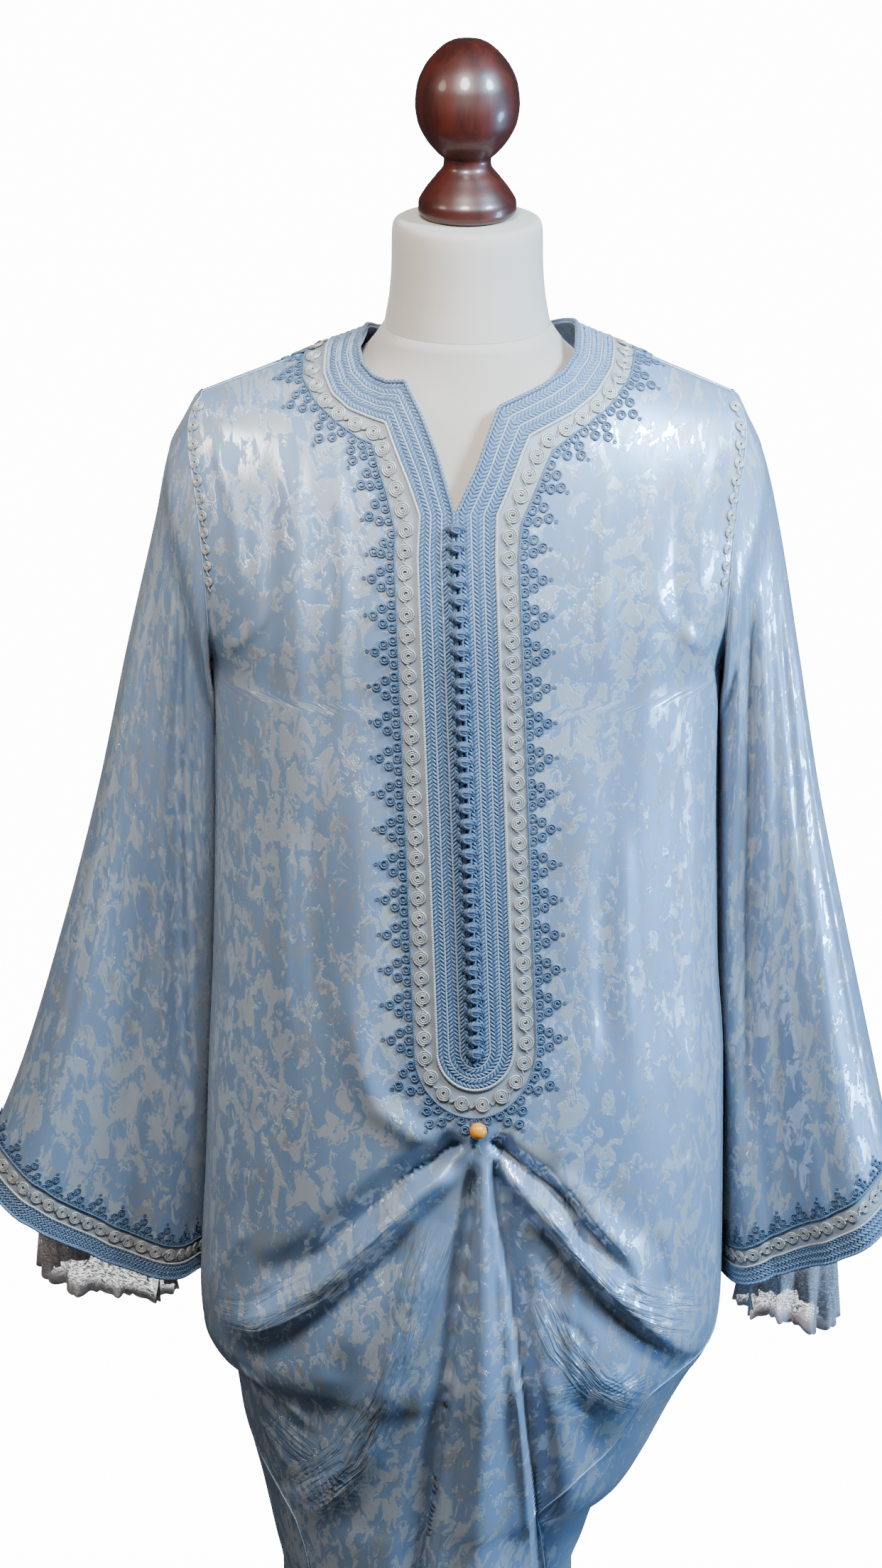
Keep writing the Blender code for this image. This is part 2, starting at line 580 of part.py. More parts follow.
def front_panel():
    """The front, one sheet that the slit parts from the V down to the placket's end."""
    left_half, right_half = front_halves()
    points, numbers = [], {}
    for side, rows in ((-1, left_half), (1, right_half)):
        for i, row in enumerate(rows):
            for j, point in enumerate(row):
                if side == 1 and j == 0 and point[2] <= PLACKET_END_Z + 0.001:
                    numbers[side, i, j] = numbers[-1, i, 0]
                    continue
                numbers[side, i, j] = len(points)
                points.append(point)
    count = len(left_half)
    turn = follows_fold(points, front_y)
    faces = grid_faces(count, FRONT_COLUMNS_RIGHT, lambda i, j: numbers[1, i, j], turn=turn)
    mirrored = grid_faces(count, FRONT_COLUMNS_LEFT, lambda i, j: numbers[-1, i, j], turn=turn)
    return points, faces + [face[::-1] for face in mirrored]


def back_height(x, y):
    """Height of the upper back over a point of the plan."""
    share = section(x, TIP_Z) ** 0.9 * float(body("back", TIP_Z))
    rise = math.sqrt(max(0.0, 1 - (y / share) ** 2))
    return DOME_Z + (float(shoulder_top(x, BACK_NECK_TOP_Z)) - DOME_Z) * rise


def back_neck(angle):
    """Point of the back neckline, from the right neck point at 90 degrees to the left one at -90."""
    side = TRIM_RIGHT[-1][0] if angle > 0 else -TRIM_LEFT[-1][0]
    x = side * math.sin(angle)
    y = BACK_NECK_DEPTH * math.cos(angle)
    return x, y, back_height(x, y)


BACK_COLUMNS = 17
SEAM_AT_SIDE_Z = 0.720
BACK_UPPER_ROWS = 6


def back_panel():
    rows = []
    wrapped = [row for row in lower_rows() if row[1] < SEAM_AT_SIDE_Z]
    for share, z in wrapped + lower_rows()[len(wrapped) :: 2]:
        start, start_inset = side_seam("seam_right", z)
        end, end_inset = side_seam("seam_left", z)
        start += start_inset
        end += 2 * math.pi - end_inset
        row = []
        for angle in np.linspace(start, end, BACK_COLUMNS):
            angle = float(angle)
            height = z if share is None else hem_z(angle) + share * (FREE_SKIRT_TOP_Z - hem_z(angle))
            edge = min(abs(angle - math.pi / 2), abs(angle - 1.5 * math.pi)) < 1e-6
            x, y, height = tube_point(angle, float(height))
            row.append((x, SEAM_GAP / 2 if edge else y, height))
        rows.append(row)
    angles = np.linspace(math.pi / 2, -math.pi / 2, 9)
    for k in range(BACK_UPPER_ROWS):
        t = (k + 1) / BACK_UPPER_ROWS
        lift = math.sin(t * math.pi / 2) * 0.5 + t * 0.5
        row = []
        arm_z = ARM_Z + lift * (TIP_Z - ARM_Z)
        start, end = float(arm_x(arm_z)), -float(arm_x(arm_z))
        neck = [back_neck(float(angle)) for angle in angles]
        tops = [(start + (neck[0][0] - start) * s, None) for s in (0, 0.25, 0.5, 0.75)]
        tops += [(point[0], point[2]) for point in neck]
        tops += [(neck[-1][0] + (end - neck[-1][0]) * s, None) for s in (0.25, 0.5, 0.75, 1)]
        for s, (x, top) in enumerate(tops):
            even = math.cos(math.pi * s / (len(tops) - 1)) * start
            place = x * t + (1 - t) * even
            if s in (0, len(tops) - 1):
                place = x
            top = float(shoulder_top(x, BACK_NECK_TOP_Z)) if top is None else top
            if k == BACK_UPPER_ROWS - 1:
                z = top
            else:
                z = ARM_Z + lift * (top - ARM_Z)
            z = min(z, float(shoulder_top(place, BACK_NECK_TOP_Z)))
            row.append((place, float(back_y(place, z)), z))
        rows.append(row)
    points = [point for row in rows for point in row]
    faces = grid_faces(len(rows), BACK_COLUMNS, lambda i, j: i * BACK_COLUMNS + j)
    return points, faces


def sleeve_point(side, angle, v):
    """Point of a sleeve: angle 0 is its outer edge, 90 degrees its front, 180 its edge by the body."""
    table = SLEEVE_LEFT if side < 0 else SLEEVE_RIGHT
    folds = SLEEVE_FOLDS_LEFT if side < 0 else SLEEVE_FOLDS_RIGHT
    value = {name: float(column(table, SLEEVE_COLUMNS, name, v)) for name in SLEEVE_COLUMNS[1:]}
    turn = math.cos(angle)
    flat = (1 - turn) / 2
    x = value["outer_x"] + (value["inner_x"] - value["outer_x"]) * flat
    z = value["outer_z"] + (value["inner_z"] - value["outer_z"]) * flat
    z -= value["bow"] * abs(math.sin(angle)) ** 1.3
    middle = value["outer_y"] + (value["inner_y"] - value["outer_y"]) * flat
    swing = math.sin(angle)
    depth = value["front"] if swing > 0 else value["back"]
    fold = 0.0
    for at, height, width, start in folds:
        near = 1 - abs((math.degrees(angle) % 360) - at) / width
        if near > 0:
            fold += height / 1000 * float(ease(near)) * float(ease((v - start) / 0.45))
    y = middle - math.copysign(abs(swing) ** 0.8 * depth + fold, swing if swing else 1)
    if v < 0.14:
        arm_z = (TIP_Z + ARM_Z) / 2 + (TIP_Z - ARM_Z) / 2 * turn
        arm_half = float(arm_x(arm_z)) + ARM_GAP
        arm_y = float(front_y(arm_half, arm_z)) if swing > 0 else float(back_y(arm_half, arm_z))
        blend = float(ease(1 - v / 0.14))
        x = x + (arm_half + (value["outer_x"] - 0.2064) * (1 - flat) - x) * blend
        y = y + (arm_y - y) * blend
        z = z + (arm_z - (TIP_Z - value["outer_z"]) * (1 - flat) - (ARM_Z - value["inner_z"]) * flat - z) * blend
    return side * x, y, z


def sleeve(side, name):
    points = []
    for v in SLEEVE_ROWS:
        for k in range(SLEEVE_AROUND):
            points.append(sleeve_point(side, 2 * math.pi * k / SLEEVE_AROUND, v))
    faces = grid_faces(len(SLEEVE_ROWS), SLEEVE_AROUND, lambda i, j: i * SLEEVE_AROUND + j, closed=True)
    if side < 0:
        faces = [face[::-1] for face in faces]
    normals = sheet_normals(points, faces)
    places = np.array(points)
    outward = np.maximum(normals[:SLEEVE_AROUND, 0] * side, 0)
    places[:SLEEVE_AROUND, 0] += side * WALL * outward
    for row in range(2):
        normals[row * SLEEVE_AROUND + SLEEVE_AROUND // 2] *= 0.62
    cloth_wall(name, places, faces, normals, "satin", WALL)
    return points, faces


def tree(*sheets):
    """Search tree over the outer sides of some panels."""
    points, faces = [], []
    for sheet_points, sheet_faces in sheets:
        start = len(points)
        points += [Vector(point) for point in sheet_points]
        faces += [tuple(number + start for number in face) for face in sheet_faces]
    return BVHTree.FromPolygons(points, faces, all_triangles=True)


def seat(panel, point):
    """Nearest point of the panel's outer side, and the direction away from it."""
    place, normal, _, _ = panel.find_nearest(Vector(point))
    return place, normal


def march(panel, start, direction, distance):
    """Point reached by going a distance over the panel in one direction."""
    steps = max(1, round(distance / 0.004))
    place, normal = seat(panel, start)
    heading = Vector(direction)
    for _ in range(steps):
        heading = (heading - normal * heading.dot(normal)).normalized()
        place, normal = seat(panel, place + heading * (distance / steps))
    return place


def facet_samples(a, b, c, d):
    """Points on the two triangles a, b, c and a, c, d."""
    found = []
    for first, second, third in ((a, b, c), (a, c, d)):
        for k in range(FACET_STEPS + 1):
            for n in range(FACET_STEPS + 1 - k):
                share, other = k / FACET_STEPS, n / FACET_STEPS
                if 1 not in (share, other) and share + other > 0:
                    found.append(first * (1 - share - other) + second * share + third * other)
    return found


def clear_lifts(panel, seats, closed):
    """Lift of each underside point of a strip, so that the flat facets between them clear the panel."""
    lifts = [[TRIM_LIFT] * len(row) for row in seats]
    count = len(seats) if closed else len(seats) - 1
    for _ in range(LIFT_ROUNDS):
        more = [[0.0] * len(row) for row in seats]
        for i in range(count):
            ahead = (i + 1) % len(seats)
            for j in range(len(seats[0]) - 1):
                cell = ((i, j), (i, j + 1), (ahead, j + 1), (ahead, j))
                corners = [seats[m][n][0] + seats[m][n][1] * lifts[m][n] for m, n in cell]
                least = 1.0
                for point in facet_samples(*corners):
                    place, normal = seat(panel, point)
                    least = min(least, (point - place).dot(normal))
                for m, n in cell:
                    more[m][n] = max(more[m][n], SEAM_GAP * 1.2 - least)
        for i, row in enumerate(more):
            for j, extra in enumerate(row):
                lifts[i][j] += extra
    return lifts


def strip(name, panel, stations, base, crown, finish, closed):
    """A raised strip on a panel.

    Each station gives two points, the inner and the outer side, and a scale of its height. base lists the
    shares across at which the underside is seated, and crown the (share, height) pairs on top.
    """
    seats = []
    for inner, outer, _ in stations:
        seats.append([seat(panel, Vector(inner).lerp(Vector(outer), share)) for share in base])
    lifts = clear_lifts(panel, seats, closed)
    rings = []
    for (_, _, scale), row, lift in zip(stations, seats, lifts):
        ring = [place + normal * rise for (place, normal), rise in zip(row, lift)]
        under = list(ring)
        for share, height in reversed(crown):
            cell = min(int(np.searchsorted(base, share, side="right")) - 1, len(base) - 2)
            t = (share - base[cell]) / (base[cell + 1] - base[cell])
            normal = row[cell][1].lerp(row[cell + 1][1], t)
            ring.append(under[cell].lerp(under[cell + 1], t) + normal * height * scale)
        rings.append(ring)
    size = len(rings[0])
    points = [point for ring in rings for point in ring]
    faces = []
    for i in range(len(rings) if closed else len(rings) - 1):
        for j in range(size):
            a, b = i * size + j, i * size + (j + 1) % size
            c, d = (i + 1) % len(rings) * size + (j + 1) % size, (i + 1) % len(rings) * size + j
            faces += [(a, b, c), (a, c, d)] if j < len(base) - 1 else [(a, b, d), (b, c, d)]
    if not closed:
        faces.append(tuple(range(size))[::-1])
        faces.append(tuple((len(rings) - 1) * size + j for j in range(size)))
    made = add_object(name, points, faces, finish, smooth=False)
    flip_if_inside_out(made.data)
    return made


def flip_if_inside_out(mesh):
    """Turns a closed mesh's faces outwards."""
    volume = 0.0
    for face in mesh.polygons:
        corners = [mesh.vertices[number].co for number in face.vertices]
        for k in range(1, len(corners) - 1):
            volume += corners[0].dot(corners[k].cross(corners[k + 1]))
    if volume < 0:
        mesh.flip_normals()


def on_front(x, z):
    return Vector((x, float(front_y(x, z)), z))


BACK_STATIONS = 11


def neck_stations(panel):
    """Closed ring of (edge, braid's outer side, coils' outer side) round the neck and down the placket."""
    ring = []
    for row in reversed(TRIM_LEFT):
        ring.append(tuple(on_front(row[k], row[k + 1]) for k in (0, 2, 4)))
    widths = {-1: (0.0290, 0.0435), 1: (0.0305, 0.0455)}

    def straight(side, z):
        braid, coil = widths[side]
        middle = slit_x(z)
        return tuple(on_front(middle + side * out, z) for out in (BUTTON_LANE, braid, coil))

    heights = list(np.linspace(1.360, PLACKET_END_Z, 14))
    ring += [straight(-1, float(z)) for z in heights]
    middle = slit_x(PLACKET_END_Z)
    for k in range(1, 12):
        angle = math.pi * k / 12
        station = []
        for out, low in ((BUTTON_LANE, 0.0095), (0.0298, 0.0320), (0.0445, 0.0530)):
            x = middle - out * math.cos(angle)
            station.append(on_front(x, PLACKET_END_Z - low * math.sin(angle)))
        ring.append(tuple(station))
    ring += [straight(1, float(z)) for z in reversed(heights)]
    for row in TRIM_RIGHT:
        ring.append(tuple(on_front(row[k], row[k + 1]) for k in (0, 2, 4)))
    angles = np.linspace(math.pi / 2, -math.pi / 2, BACK_STATIONS + 2)[1:-1]
    for angle in angles:
        point = Vector(back_neck(float(angle)))
        place, normal = seat(panel, point)
        along = Vector(back_neck(float(angle) - 0.02)) - point
        out = normal.cross(along).normalized()
        if out.dot(Vector((0, 0, -1))) < 0:
            out = -out
        ring.append((point, march(panel, point, out, BRAID_WIDTH), march(panel, point, out, COIL_END)))
    return ring


def refined(ring, step):
    """The closed ring with stations added wherever its outer track runs further than step round a curve."""
    found = []
    for k, station in enumerate(ring):
        ahead = ring[(k + 1) % len(ring)]
        found.append(station)
        straight = station[0].z < TRIM_LEFT[0][1] - 0.02 and station[0].z > PLACKET_END_Z - 0.001
        parts = 1 if straight else math.ceil((ahead[1] - station[1]).length / step)
        for part in range(1, parts):
            found.append(tuple(a.lerp(b, part / parts) for a, b in zip(station, ahead)))
    return found


def along_ring(ring, pitch, track):
    """Stations at an even pitch along one track, two for each repeat: first the front, then the back neck."""
    loop = ring + [ring[0]]
    ridge = len(ring) - BACK_STATIONS - 1
    found = []
    for arc in (loop[: ridge + 1], loop[ridge:]):
        starts = [0.0]
        for a, b in zip(arc, arc[1:]):
            starts.append(starts[-1] + (b[track] - a[track]).length)
        count = round(starts[-1] / pitch) * 2
        for k in range(count):
            at = starts[-1] * k / count
            i = max(n for n in range(len(arc) - 1) if starts[n] <= at)
            t = (at - starts[i]) / (starts[i + 1] - starts[i])
            found.append(tuple(a.lerp(b, t) for a, b in zip(arc[i], arc[i + 1])))
    return found


BRAID_STEP = 0.016
BRAID_BASE = (0, 0.5, 1)
BRAID_CROWN = tuple(
    (k / 6, CORD_HEIGHT if k % 2 == 0 else BRAID_HEIGHT) for k in range(7)
)


def neck_trims(panel):
    ring = neck_stations(panel)
    inset = 0.0007
    braid = []
    for edge, outer, _ in refined(ring, BRAID_STEP):
        across = (outer - edge).normalized() * inset
        braid.append((edge + across, outer - across, 1))
    strip("neck_braid", panel, braid, BRAID_BASE, BRAID_CROWN, "braid", closed=True)
    coils = []
    for k, (_, inner, outer) in enumerate(along_ring(ring, COIL_PITCH, 2)):
        across = (outer - inner).normalized()
        if k % 2 == 0:
            coils.append((inner + across * inset, outer - across * inset, 1))
        else:
            coils.append((inner + across * 0.0035, outer - across * 0.0035, 0.6))
    crown = ((0.5, COIL_HEIGHT),)
    strip("neck_coils", panel, coils, (0, 1), crown, "silver", closed=True)
    points = []
    for k, (_, inner, outer) in enumerate(along_ring(ring, POINT_PITCH, 2)):
        across = (outer - inner).normalized()
        start = outer + across * inset
        place = march(panel, start, across, POINT_LENGTH if k % 2 == 0 else 0.0060)
        points.append((start, place, 1))
    crown = ((0.5, POINT_HEIGHT),)
    return strip("neck_points", panel, points, (0, 0.5, 1), crown, "points", closed=True)


def cuff_trims(side, suffix, panel):
    def ring(bounds, count, wave=None):
        stations = []
        for k in range(count):
            angle = 2 * math.pi * k / count
            start, end = bounds
            if wave and k % 2:
                start = end - (end - start) * wave
            stations.append((Vector(sleeve_point(side, angle, end)), Vector(sleeve_point(side, angle, start))))
        return stations

    braid = [(inner, outer, 1) for inner, outer in ring(CUFF_BRAID, SLEEVE_AROUND)]
    strip("cuff_braid_" + suffix, panel, braid, (0, 1), BRAID_CROWN, "braid", closed=True)
    coils = []
    for k, (inner, outer) in enumerate(ring(CUFF_COILS, CUFF_COIL_COUNT * 2)):
        across = (outer - inner) * (0.0 if k % 2 == 0 else 0.25)
        coils.append((inner + across, outer - across, 1 if k % 2 == 0 else 0.6))
    crown = ((0.5, COIL_HEIGHT),)
    strip("cuff_coils_" + suffix, panel, coils, (0, 1), crown, "silver", closed=True)
    points = [(inner, outer, 1) for inner, outer in ring(CUFF_POINTS, CUFF_POINT_COUNT * 2, 0.3)]
    crown = ((0.3, POINT_HEIGHT),)
    strip("cuff_points_" + suffix, panel, points, (0, 1), crown, "points", closed=True)


def frill_seam(side, angle):
    """Point inside the sleeve at which the frill is sewn on."""
    here = Vector(sleeve_point(side, angle, FRILL_SEAM_V))
    ahead = Vector(sleeve_point(side, angle + 0.05, FRILL_SEAM_V)) - here
    up = Vector(sleeve_point(side, angle, FRILL_SEAM_V - 0.02)) - here
    inwards = ahead.cross(up).normalized()
    ends = [Vector(sleeve_point(side, at, FRILL_SEAM_V)) for at in (0, math.pi)]
    if inwards.dot(ends[0].lerp(ends[1], 0.5) - here) < 0:
        inwards = -inwards
    return here + inwards * FRILL_SEAM_INSET


def frill(side, name):
    """Gathered lace, sewn on inside a cuff and hanging below it in waves, narrower than the cuff."""
    size = dict(zip(FRILL_COLUMNS, FRILL_LEFT if side < 0 else FRILL_RIGHT))
    _, outer_x, outer_z, inner_x, inner_z = (SLEEVE_LEFT if side < 0 else SLEEVE_RIGHT)[-1][:5]
    count = FRILL_WAVES * 2
    turns = [2 * math.pi * (k + 0.5) / count for k in range(count)]
    rows = [[frill_seam(side, angle) for angle in turns]]
    for down, wave in FRILL_ROWS:
        row = []
        for k, angle in enumerate(turns):
            swing = wave if k % 2 else -wave
            x = size["middle_x"] + (size["half_x"] + swing) * math.cos(angle)
            y = size["middle_y"] - (size["half_y"] + swing) * math.sin(angle)
            high = inner_z + (outer_z - inner_z) * (x - inner_x) / (outer_x - inner_x)
            low = size["inner_low_z"] + (size["outer_low_z"] - size["inner_low_z"]) * (1 + math.cos(angle)) / 2
            row.append(Vector((side * x, y, high + (low - high) * down)))
        rows.append(row)
    points = [point for row in rows for point in row]
    faces = grid_faces(len(rows), count, lambda i, j: i * count + j, closed=True)
    if side < 0:
        faces = [face[::-1] for face in faces]
    return cloth_wall(name, points, faces, sheet_normals(points, faces), "lace", LACE_WALL)


ARM_COILS = 11


def arm_coils(side, name, panel):
    """Coil row beside the armhole seam, over the shoulder's tip and down the front."""
    stations = []
    for k in range(ARM_COILS * 2 + 1):
        z = TIP_Z - 0.004 - (TIP_Z - 1.325) * k / (ARM_COILS * 2)
        half = float(arm_x(z))
        shrink = 0.0 if k % 2 == 0 else 0.003
        outer = side * (half - 0.0015 - shrink)
        inner = side * (half - 0.0125 + shrink)
        top = float(shoulder_top(outer, FRONT_NECK_TOP_Z)) - 0.003
        stations.append((on_front(inner, min(z, top)), on_front(outer, min(z, top)), 1 if k % 2 == 0 else 0.6))
    strip(name, panel, stations, (0, 1), ((0.5, COIL_HEIGHT * 0.9),), "silver", closed=False)


def turned(name, profile, finish, segments, smooth=True):
    """A solid turned about the Z axis from (radius, z) pairs given from bottom to top."""
    points = []
    for radius, z in profile:
        for k in range(segments):
            angle = 2 * math.pi * k / segments
            points.append((radius * math.cos(angle), radius * math.sin(angle), z))
    faces = [tuple(range(segments))[::-1]]
    for i in range(len(profile) - 1):
        for k in range(segments):
            a, b = i * segments + k, i * segments + (k + 1) % segments
            faces.append((a, b, b + segments, a + segments))
    faces.append(tuple((len(profile) - 1) * segments + k for k in range(segments)))
    return add_object(name, points, faces, finish, smooth)


FORM_AROUND = 18


def form_torso():
    points = []
    for z, half, front, back in FORM:
        for k in range(FORM_AROUND):
            angle = 2 * math.pi * k / FORM_AROUND
            wide, deep = math.sin(angle), math.cos(angle)
            depth = front if deep > 0 else back
            points.append((half * wide, -depth * math.copysign(abs(deep) ** 0.9, deep), z))
    faces = [tuple(range(FORM_AROUND))[::-1]]
    for i in range(len(FORM) - 1):
        for k in range(FORM_AROUND):
            a, b = i * FORM_AROUND + k, i * FORM_AROUND + (k + 1) % FORM_AROUND
            faces.append((a, b, b + FORM_AROUND, a + FORM_AROUND))
    faces.append(tuple((len(FORM) - 1) * FORM_AROUND + k for k in range(FORM_AROUND)))
    return add_object("form_torso", points, faces, "jersey")


def ball_mesh(radius, around, rings):
    """Points and faces of a small ball about the origin, with its poles up and down."""
    points = [Vector((0, 0, -radius))]
    for i in range(1, rings):
        tilt = math.pi * i / rings
        for k in range(around):
            angle = 2 * math.pi * k / around
            flat = radius * math.sin(tilt)
            points.append(Vector((flat * math.cos(angle), flat * math.sin(angle), -radius * math.cos(tilt))))
    points.append(Vector((0, 0, radius)))
    faces = []
    for k in range(around):
        faces.append((0, 1 + (k + 1) % around, 1 + k))
        for i in range(rings - 2):
            a, b = 1 + i * around + k, 1 + i * around + (k + 1) % around
            faces.append((a, b, b + around, a + around))
        last = 1 + (rings - 2) * around
        faces.append((last + k, last + (k + 1) % around, len(points) - 1))
    return points, faces


def seated_ball(name, x, z, radius, finish, under, around=6, rings=3):
    """A ball brought from in front of the garment until it lies a seam's gap from what is under it."""
    points, faces = ball_mesh(radius, around, rings)
    centre = Vector((x, float(front_y(x, z)) - radius * 3, z))
    for _ in range(SEAT_STEPS):
        nearest = min(panel.find_nearest(centre + point)[3] for point in points for panel in under)
        centre.y += nearest - SEAM_GAP * 1.1
    return add_object(name, [centre + point for point in points], faces, finish)


SEAT_STEPS = 24


def buttons(panel):
    """Knotted ball buttons over the slit, a little closer together lower down."""
    span = BUTTON_TOP_Z - (PLACKET_END_Z - 0.0015)
    gaps = BUTTON_COUNT - 1
    closing = 2 * (BUTTON_PITCH_TOP * gaps - span) / (gaps * (gaps - 1))
    z = BUTTON_TOP_Z
    for k in range(BUTTON_COUNT):
        seated_ball(f"button_{k + 1:02d}", float(slit_x(z)), z, BUTTON_RADIUS, "button", (panel,))
        z -= BUTTON_PITCH_TOP - closing * k


def mesh_tree(made):
    """Search tree over a finished object."""
    points = [vertex.co.copy() for vertex in made.data.vertices]
    return BVHTree.FromPolygons(points, [tuple(face.vertices) for face in made.data.polygons])


def main():
    for old in list(bpy.data.objects):
        bpy.data.objects.remove(old, do_unlink=True)
    front = front_panel()
    back = back_panel()
    normals = seam_normals((front, back))
    cloth_wall("body_front", *front, normals[0], "satin", WALL)
    cloth_wall("body_back", *back, normals[1], "satin", WALL)
    torso_panel = tree(front, back)
    points_row = neck_trims(torso_panel)
    for side, suffix in ((-1, "left"), (1, "right")):
        sheet = sleeve(side, "sleeve_" + suffix)
        cuff_trims(side, suffix, tree(sheet))
        frill(side, "frill_" + suffix)
        arm_coils(side, "arm_coils_" + suffix, tree(front))
    buttons(torso_panel)
    under = (torso_panel, mesh_tree(points_row))
    seated_ball("pin_bead", float(slit_x(BEAD_Z)), BEAD_Z, BEAD_RADIUS, "bead", under, 10, 6)
    form_torso()
    turned("form_neck", NECK_PROFILE, "jersey", 24)
    turned("finial", FINIAL_PROFILE, "mahogany", 16)
    pole_top = FORM[0][0] - SEAM_GAP
    turned("pole", ((POLE_RADIUS, POLE_FOOT_Z), (POLE_RADIUS, pole_top)), "steel", 14)
    turned("base", BASE_PROFILE, "mahogany", 24)


main()
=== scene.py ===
"""Kandura on a dress form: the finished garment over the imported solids, with trims, stand and studio."""

import logging
import math
from collections.abc import Sequence
from dataclasses import dataclass
from enum import Enum

import bpy
import numpy as np
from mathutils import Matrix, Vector
from mathutils.bvhtree import BVHTree


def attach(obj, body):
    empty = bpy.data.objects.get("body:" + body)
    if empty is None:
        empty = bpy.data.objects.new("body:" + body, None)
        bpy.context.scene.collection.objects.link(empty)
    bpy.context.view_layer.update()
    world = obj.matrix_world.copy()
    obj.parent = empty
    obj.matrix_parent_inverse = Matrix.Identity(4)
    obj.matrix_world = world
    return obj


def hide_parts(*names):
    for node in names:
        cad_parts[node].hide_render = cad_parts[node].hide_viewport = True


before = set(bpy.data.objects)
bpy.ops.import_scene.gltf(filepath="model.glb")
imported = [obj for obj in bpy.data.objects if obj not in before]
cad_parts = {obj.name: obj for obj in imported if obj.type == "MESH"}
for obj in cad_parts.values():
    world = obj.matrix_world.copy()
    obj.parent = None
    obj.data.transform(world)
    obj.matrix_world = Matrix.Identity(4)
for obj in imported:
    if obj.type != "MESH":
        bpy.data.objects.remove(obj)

LOG = logging.getLogger("kandura")

# Heights and widths of the garment, metres
SEAM_GAP = 0.0003
HEM_BACK_Z = 0.105
HEM_FRONT_RISE = 0.11
FREE_SKIRT_TOP_Z = 0.464
PLACKET_END_Z = 0.965
ARM_Z = 1.240
TIP_Z = 1.460
DOME_Z = 1.280
NECK_POINT_Z = 1.512
FRONT_NECK_TOP_Z = 1.545
BACK_NECK_TOP_Z = 1.545
NECK_LINE_LEFT = 0.070
NECK_LINE_RIGHT = 0.083
SHOULDER_TIP_X = 0.206
SLIT_X = -0.0094
SLIT_Z = 1.383
SLIT_LEAN = -0.0376
SLIT_GAP = 0.0006
BUTTON_COUNT = 35
BUTTON_TOP_Z = 1.3825
BUTTON_PITCH_TOP = 0.0135
BUTTON_RADIUS = 0.0045
BEAD_RADIUS = 0.0068
BEAD_Z = 0.9015
BAND_START = 0.0012
BRAID_WIDTH = 0.0309
COIL_END = 0.0460
BACK_NECK_DEPTH = 0.0735
DRAPE_TOP_Z = 0.930
UPPER_HALF_X = 0.235
FAR_FROM_DRAPE = 9.0

BODY_COLUMNS = ("z", "left", "right", "front", "back", "seam_left", "seam_right")
BODY = (
    (0.090, 0.165, 0.122, 0.150, 0.155, -50, 42),
    (0.200, 0.158, 0.110, 0.146, 0.148, -50, 46),
    (0.320, 0.150, 0.095, 0.140, 0.140, -50, 52),
    (0.464, 0.151, 0.088, 0.136, 0.134, -51, 54),
    (0.500, 0.158, 0.099, 0.136, 0.132, -50, 46),
    (0.534, 0.165, 0.112, 0.137, 0.131, -53, 38),
    (0.548, 0.168, 0.131, 0.138, 0.130, -58, 31),
    (0.580, 0.176, 0.151, 0.140, 0.130, -72, 37),
    (0.602, 0.181, 0.162, 0.142, 0.130, -82, 46),
    (0.622, 0.185, 0.172, 0.144, 0.130, -90, 49),
    (0.650, 0.190, 0.188, 0.148, 0.130, -90, 51),
    (0.664, 0.206, 0.198, 0.151, 0.130, -90, 60),
    (0.682, 0.214, 0.2045, 0.153, 0.130, -90, 84),
    (0.710, 0.2155, 0.2075, 0.153, 0.129, -90, 90),
    (0.750, 0.2135, 0.2075, 0.151, 0.127, -90, 90),
    (0.820, 0.2095, 0.2070, 0.147, 0.122, -90, 90),
    (0.909, 0.2060, 0.2060, 0.143, 0.114, -90, 90),
    (1.000, 0.2015, 0.2000, 0.136, 0.105, -90, 90),
    (1.147, 0.1980, 0.1980, 0.129, 0.102, -90, 90),
    (1.240, 0.2000, 0.2000, 0.127, 0.106, -90, 90),
    (1.290, 0.2180, 0.2180, 0.127, 0.110, -90, 90),
    (1.350, 0.2350, 0.2350, 0.126, 0.112, -90, 90),
    (1.460, 0.2400, 0.2400, 0.125, 0.112, -90, 90),
)


@dataclass(frozen=True)
class Fold:
    """One soft fold: a path from its start outwards, its height in mm (minus for a trough), the widths to the
    left and right of the path at its start and end in mm, the shares of the path over which it rises and
    falls, and how pointed its crest is."""

    name: str
    path: tuple[tuple[float, float], ...]
    height: float
    left: tuple[float, float]
    right: tuple[float, float]
    rise: float = 0.15
    fall: float = 0.2
    point: float = 0.0


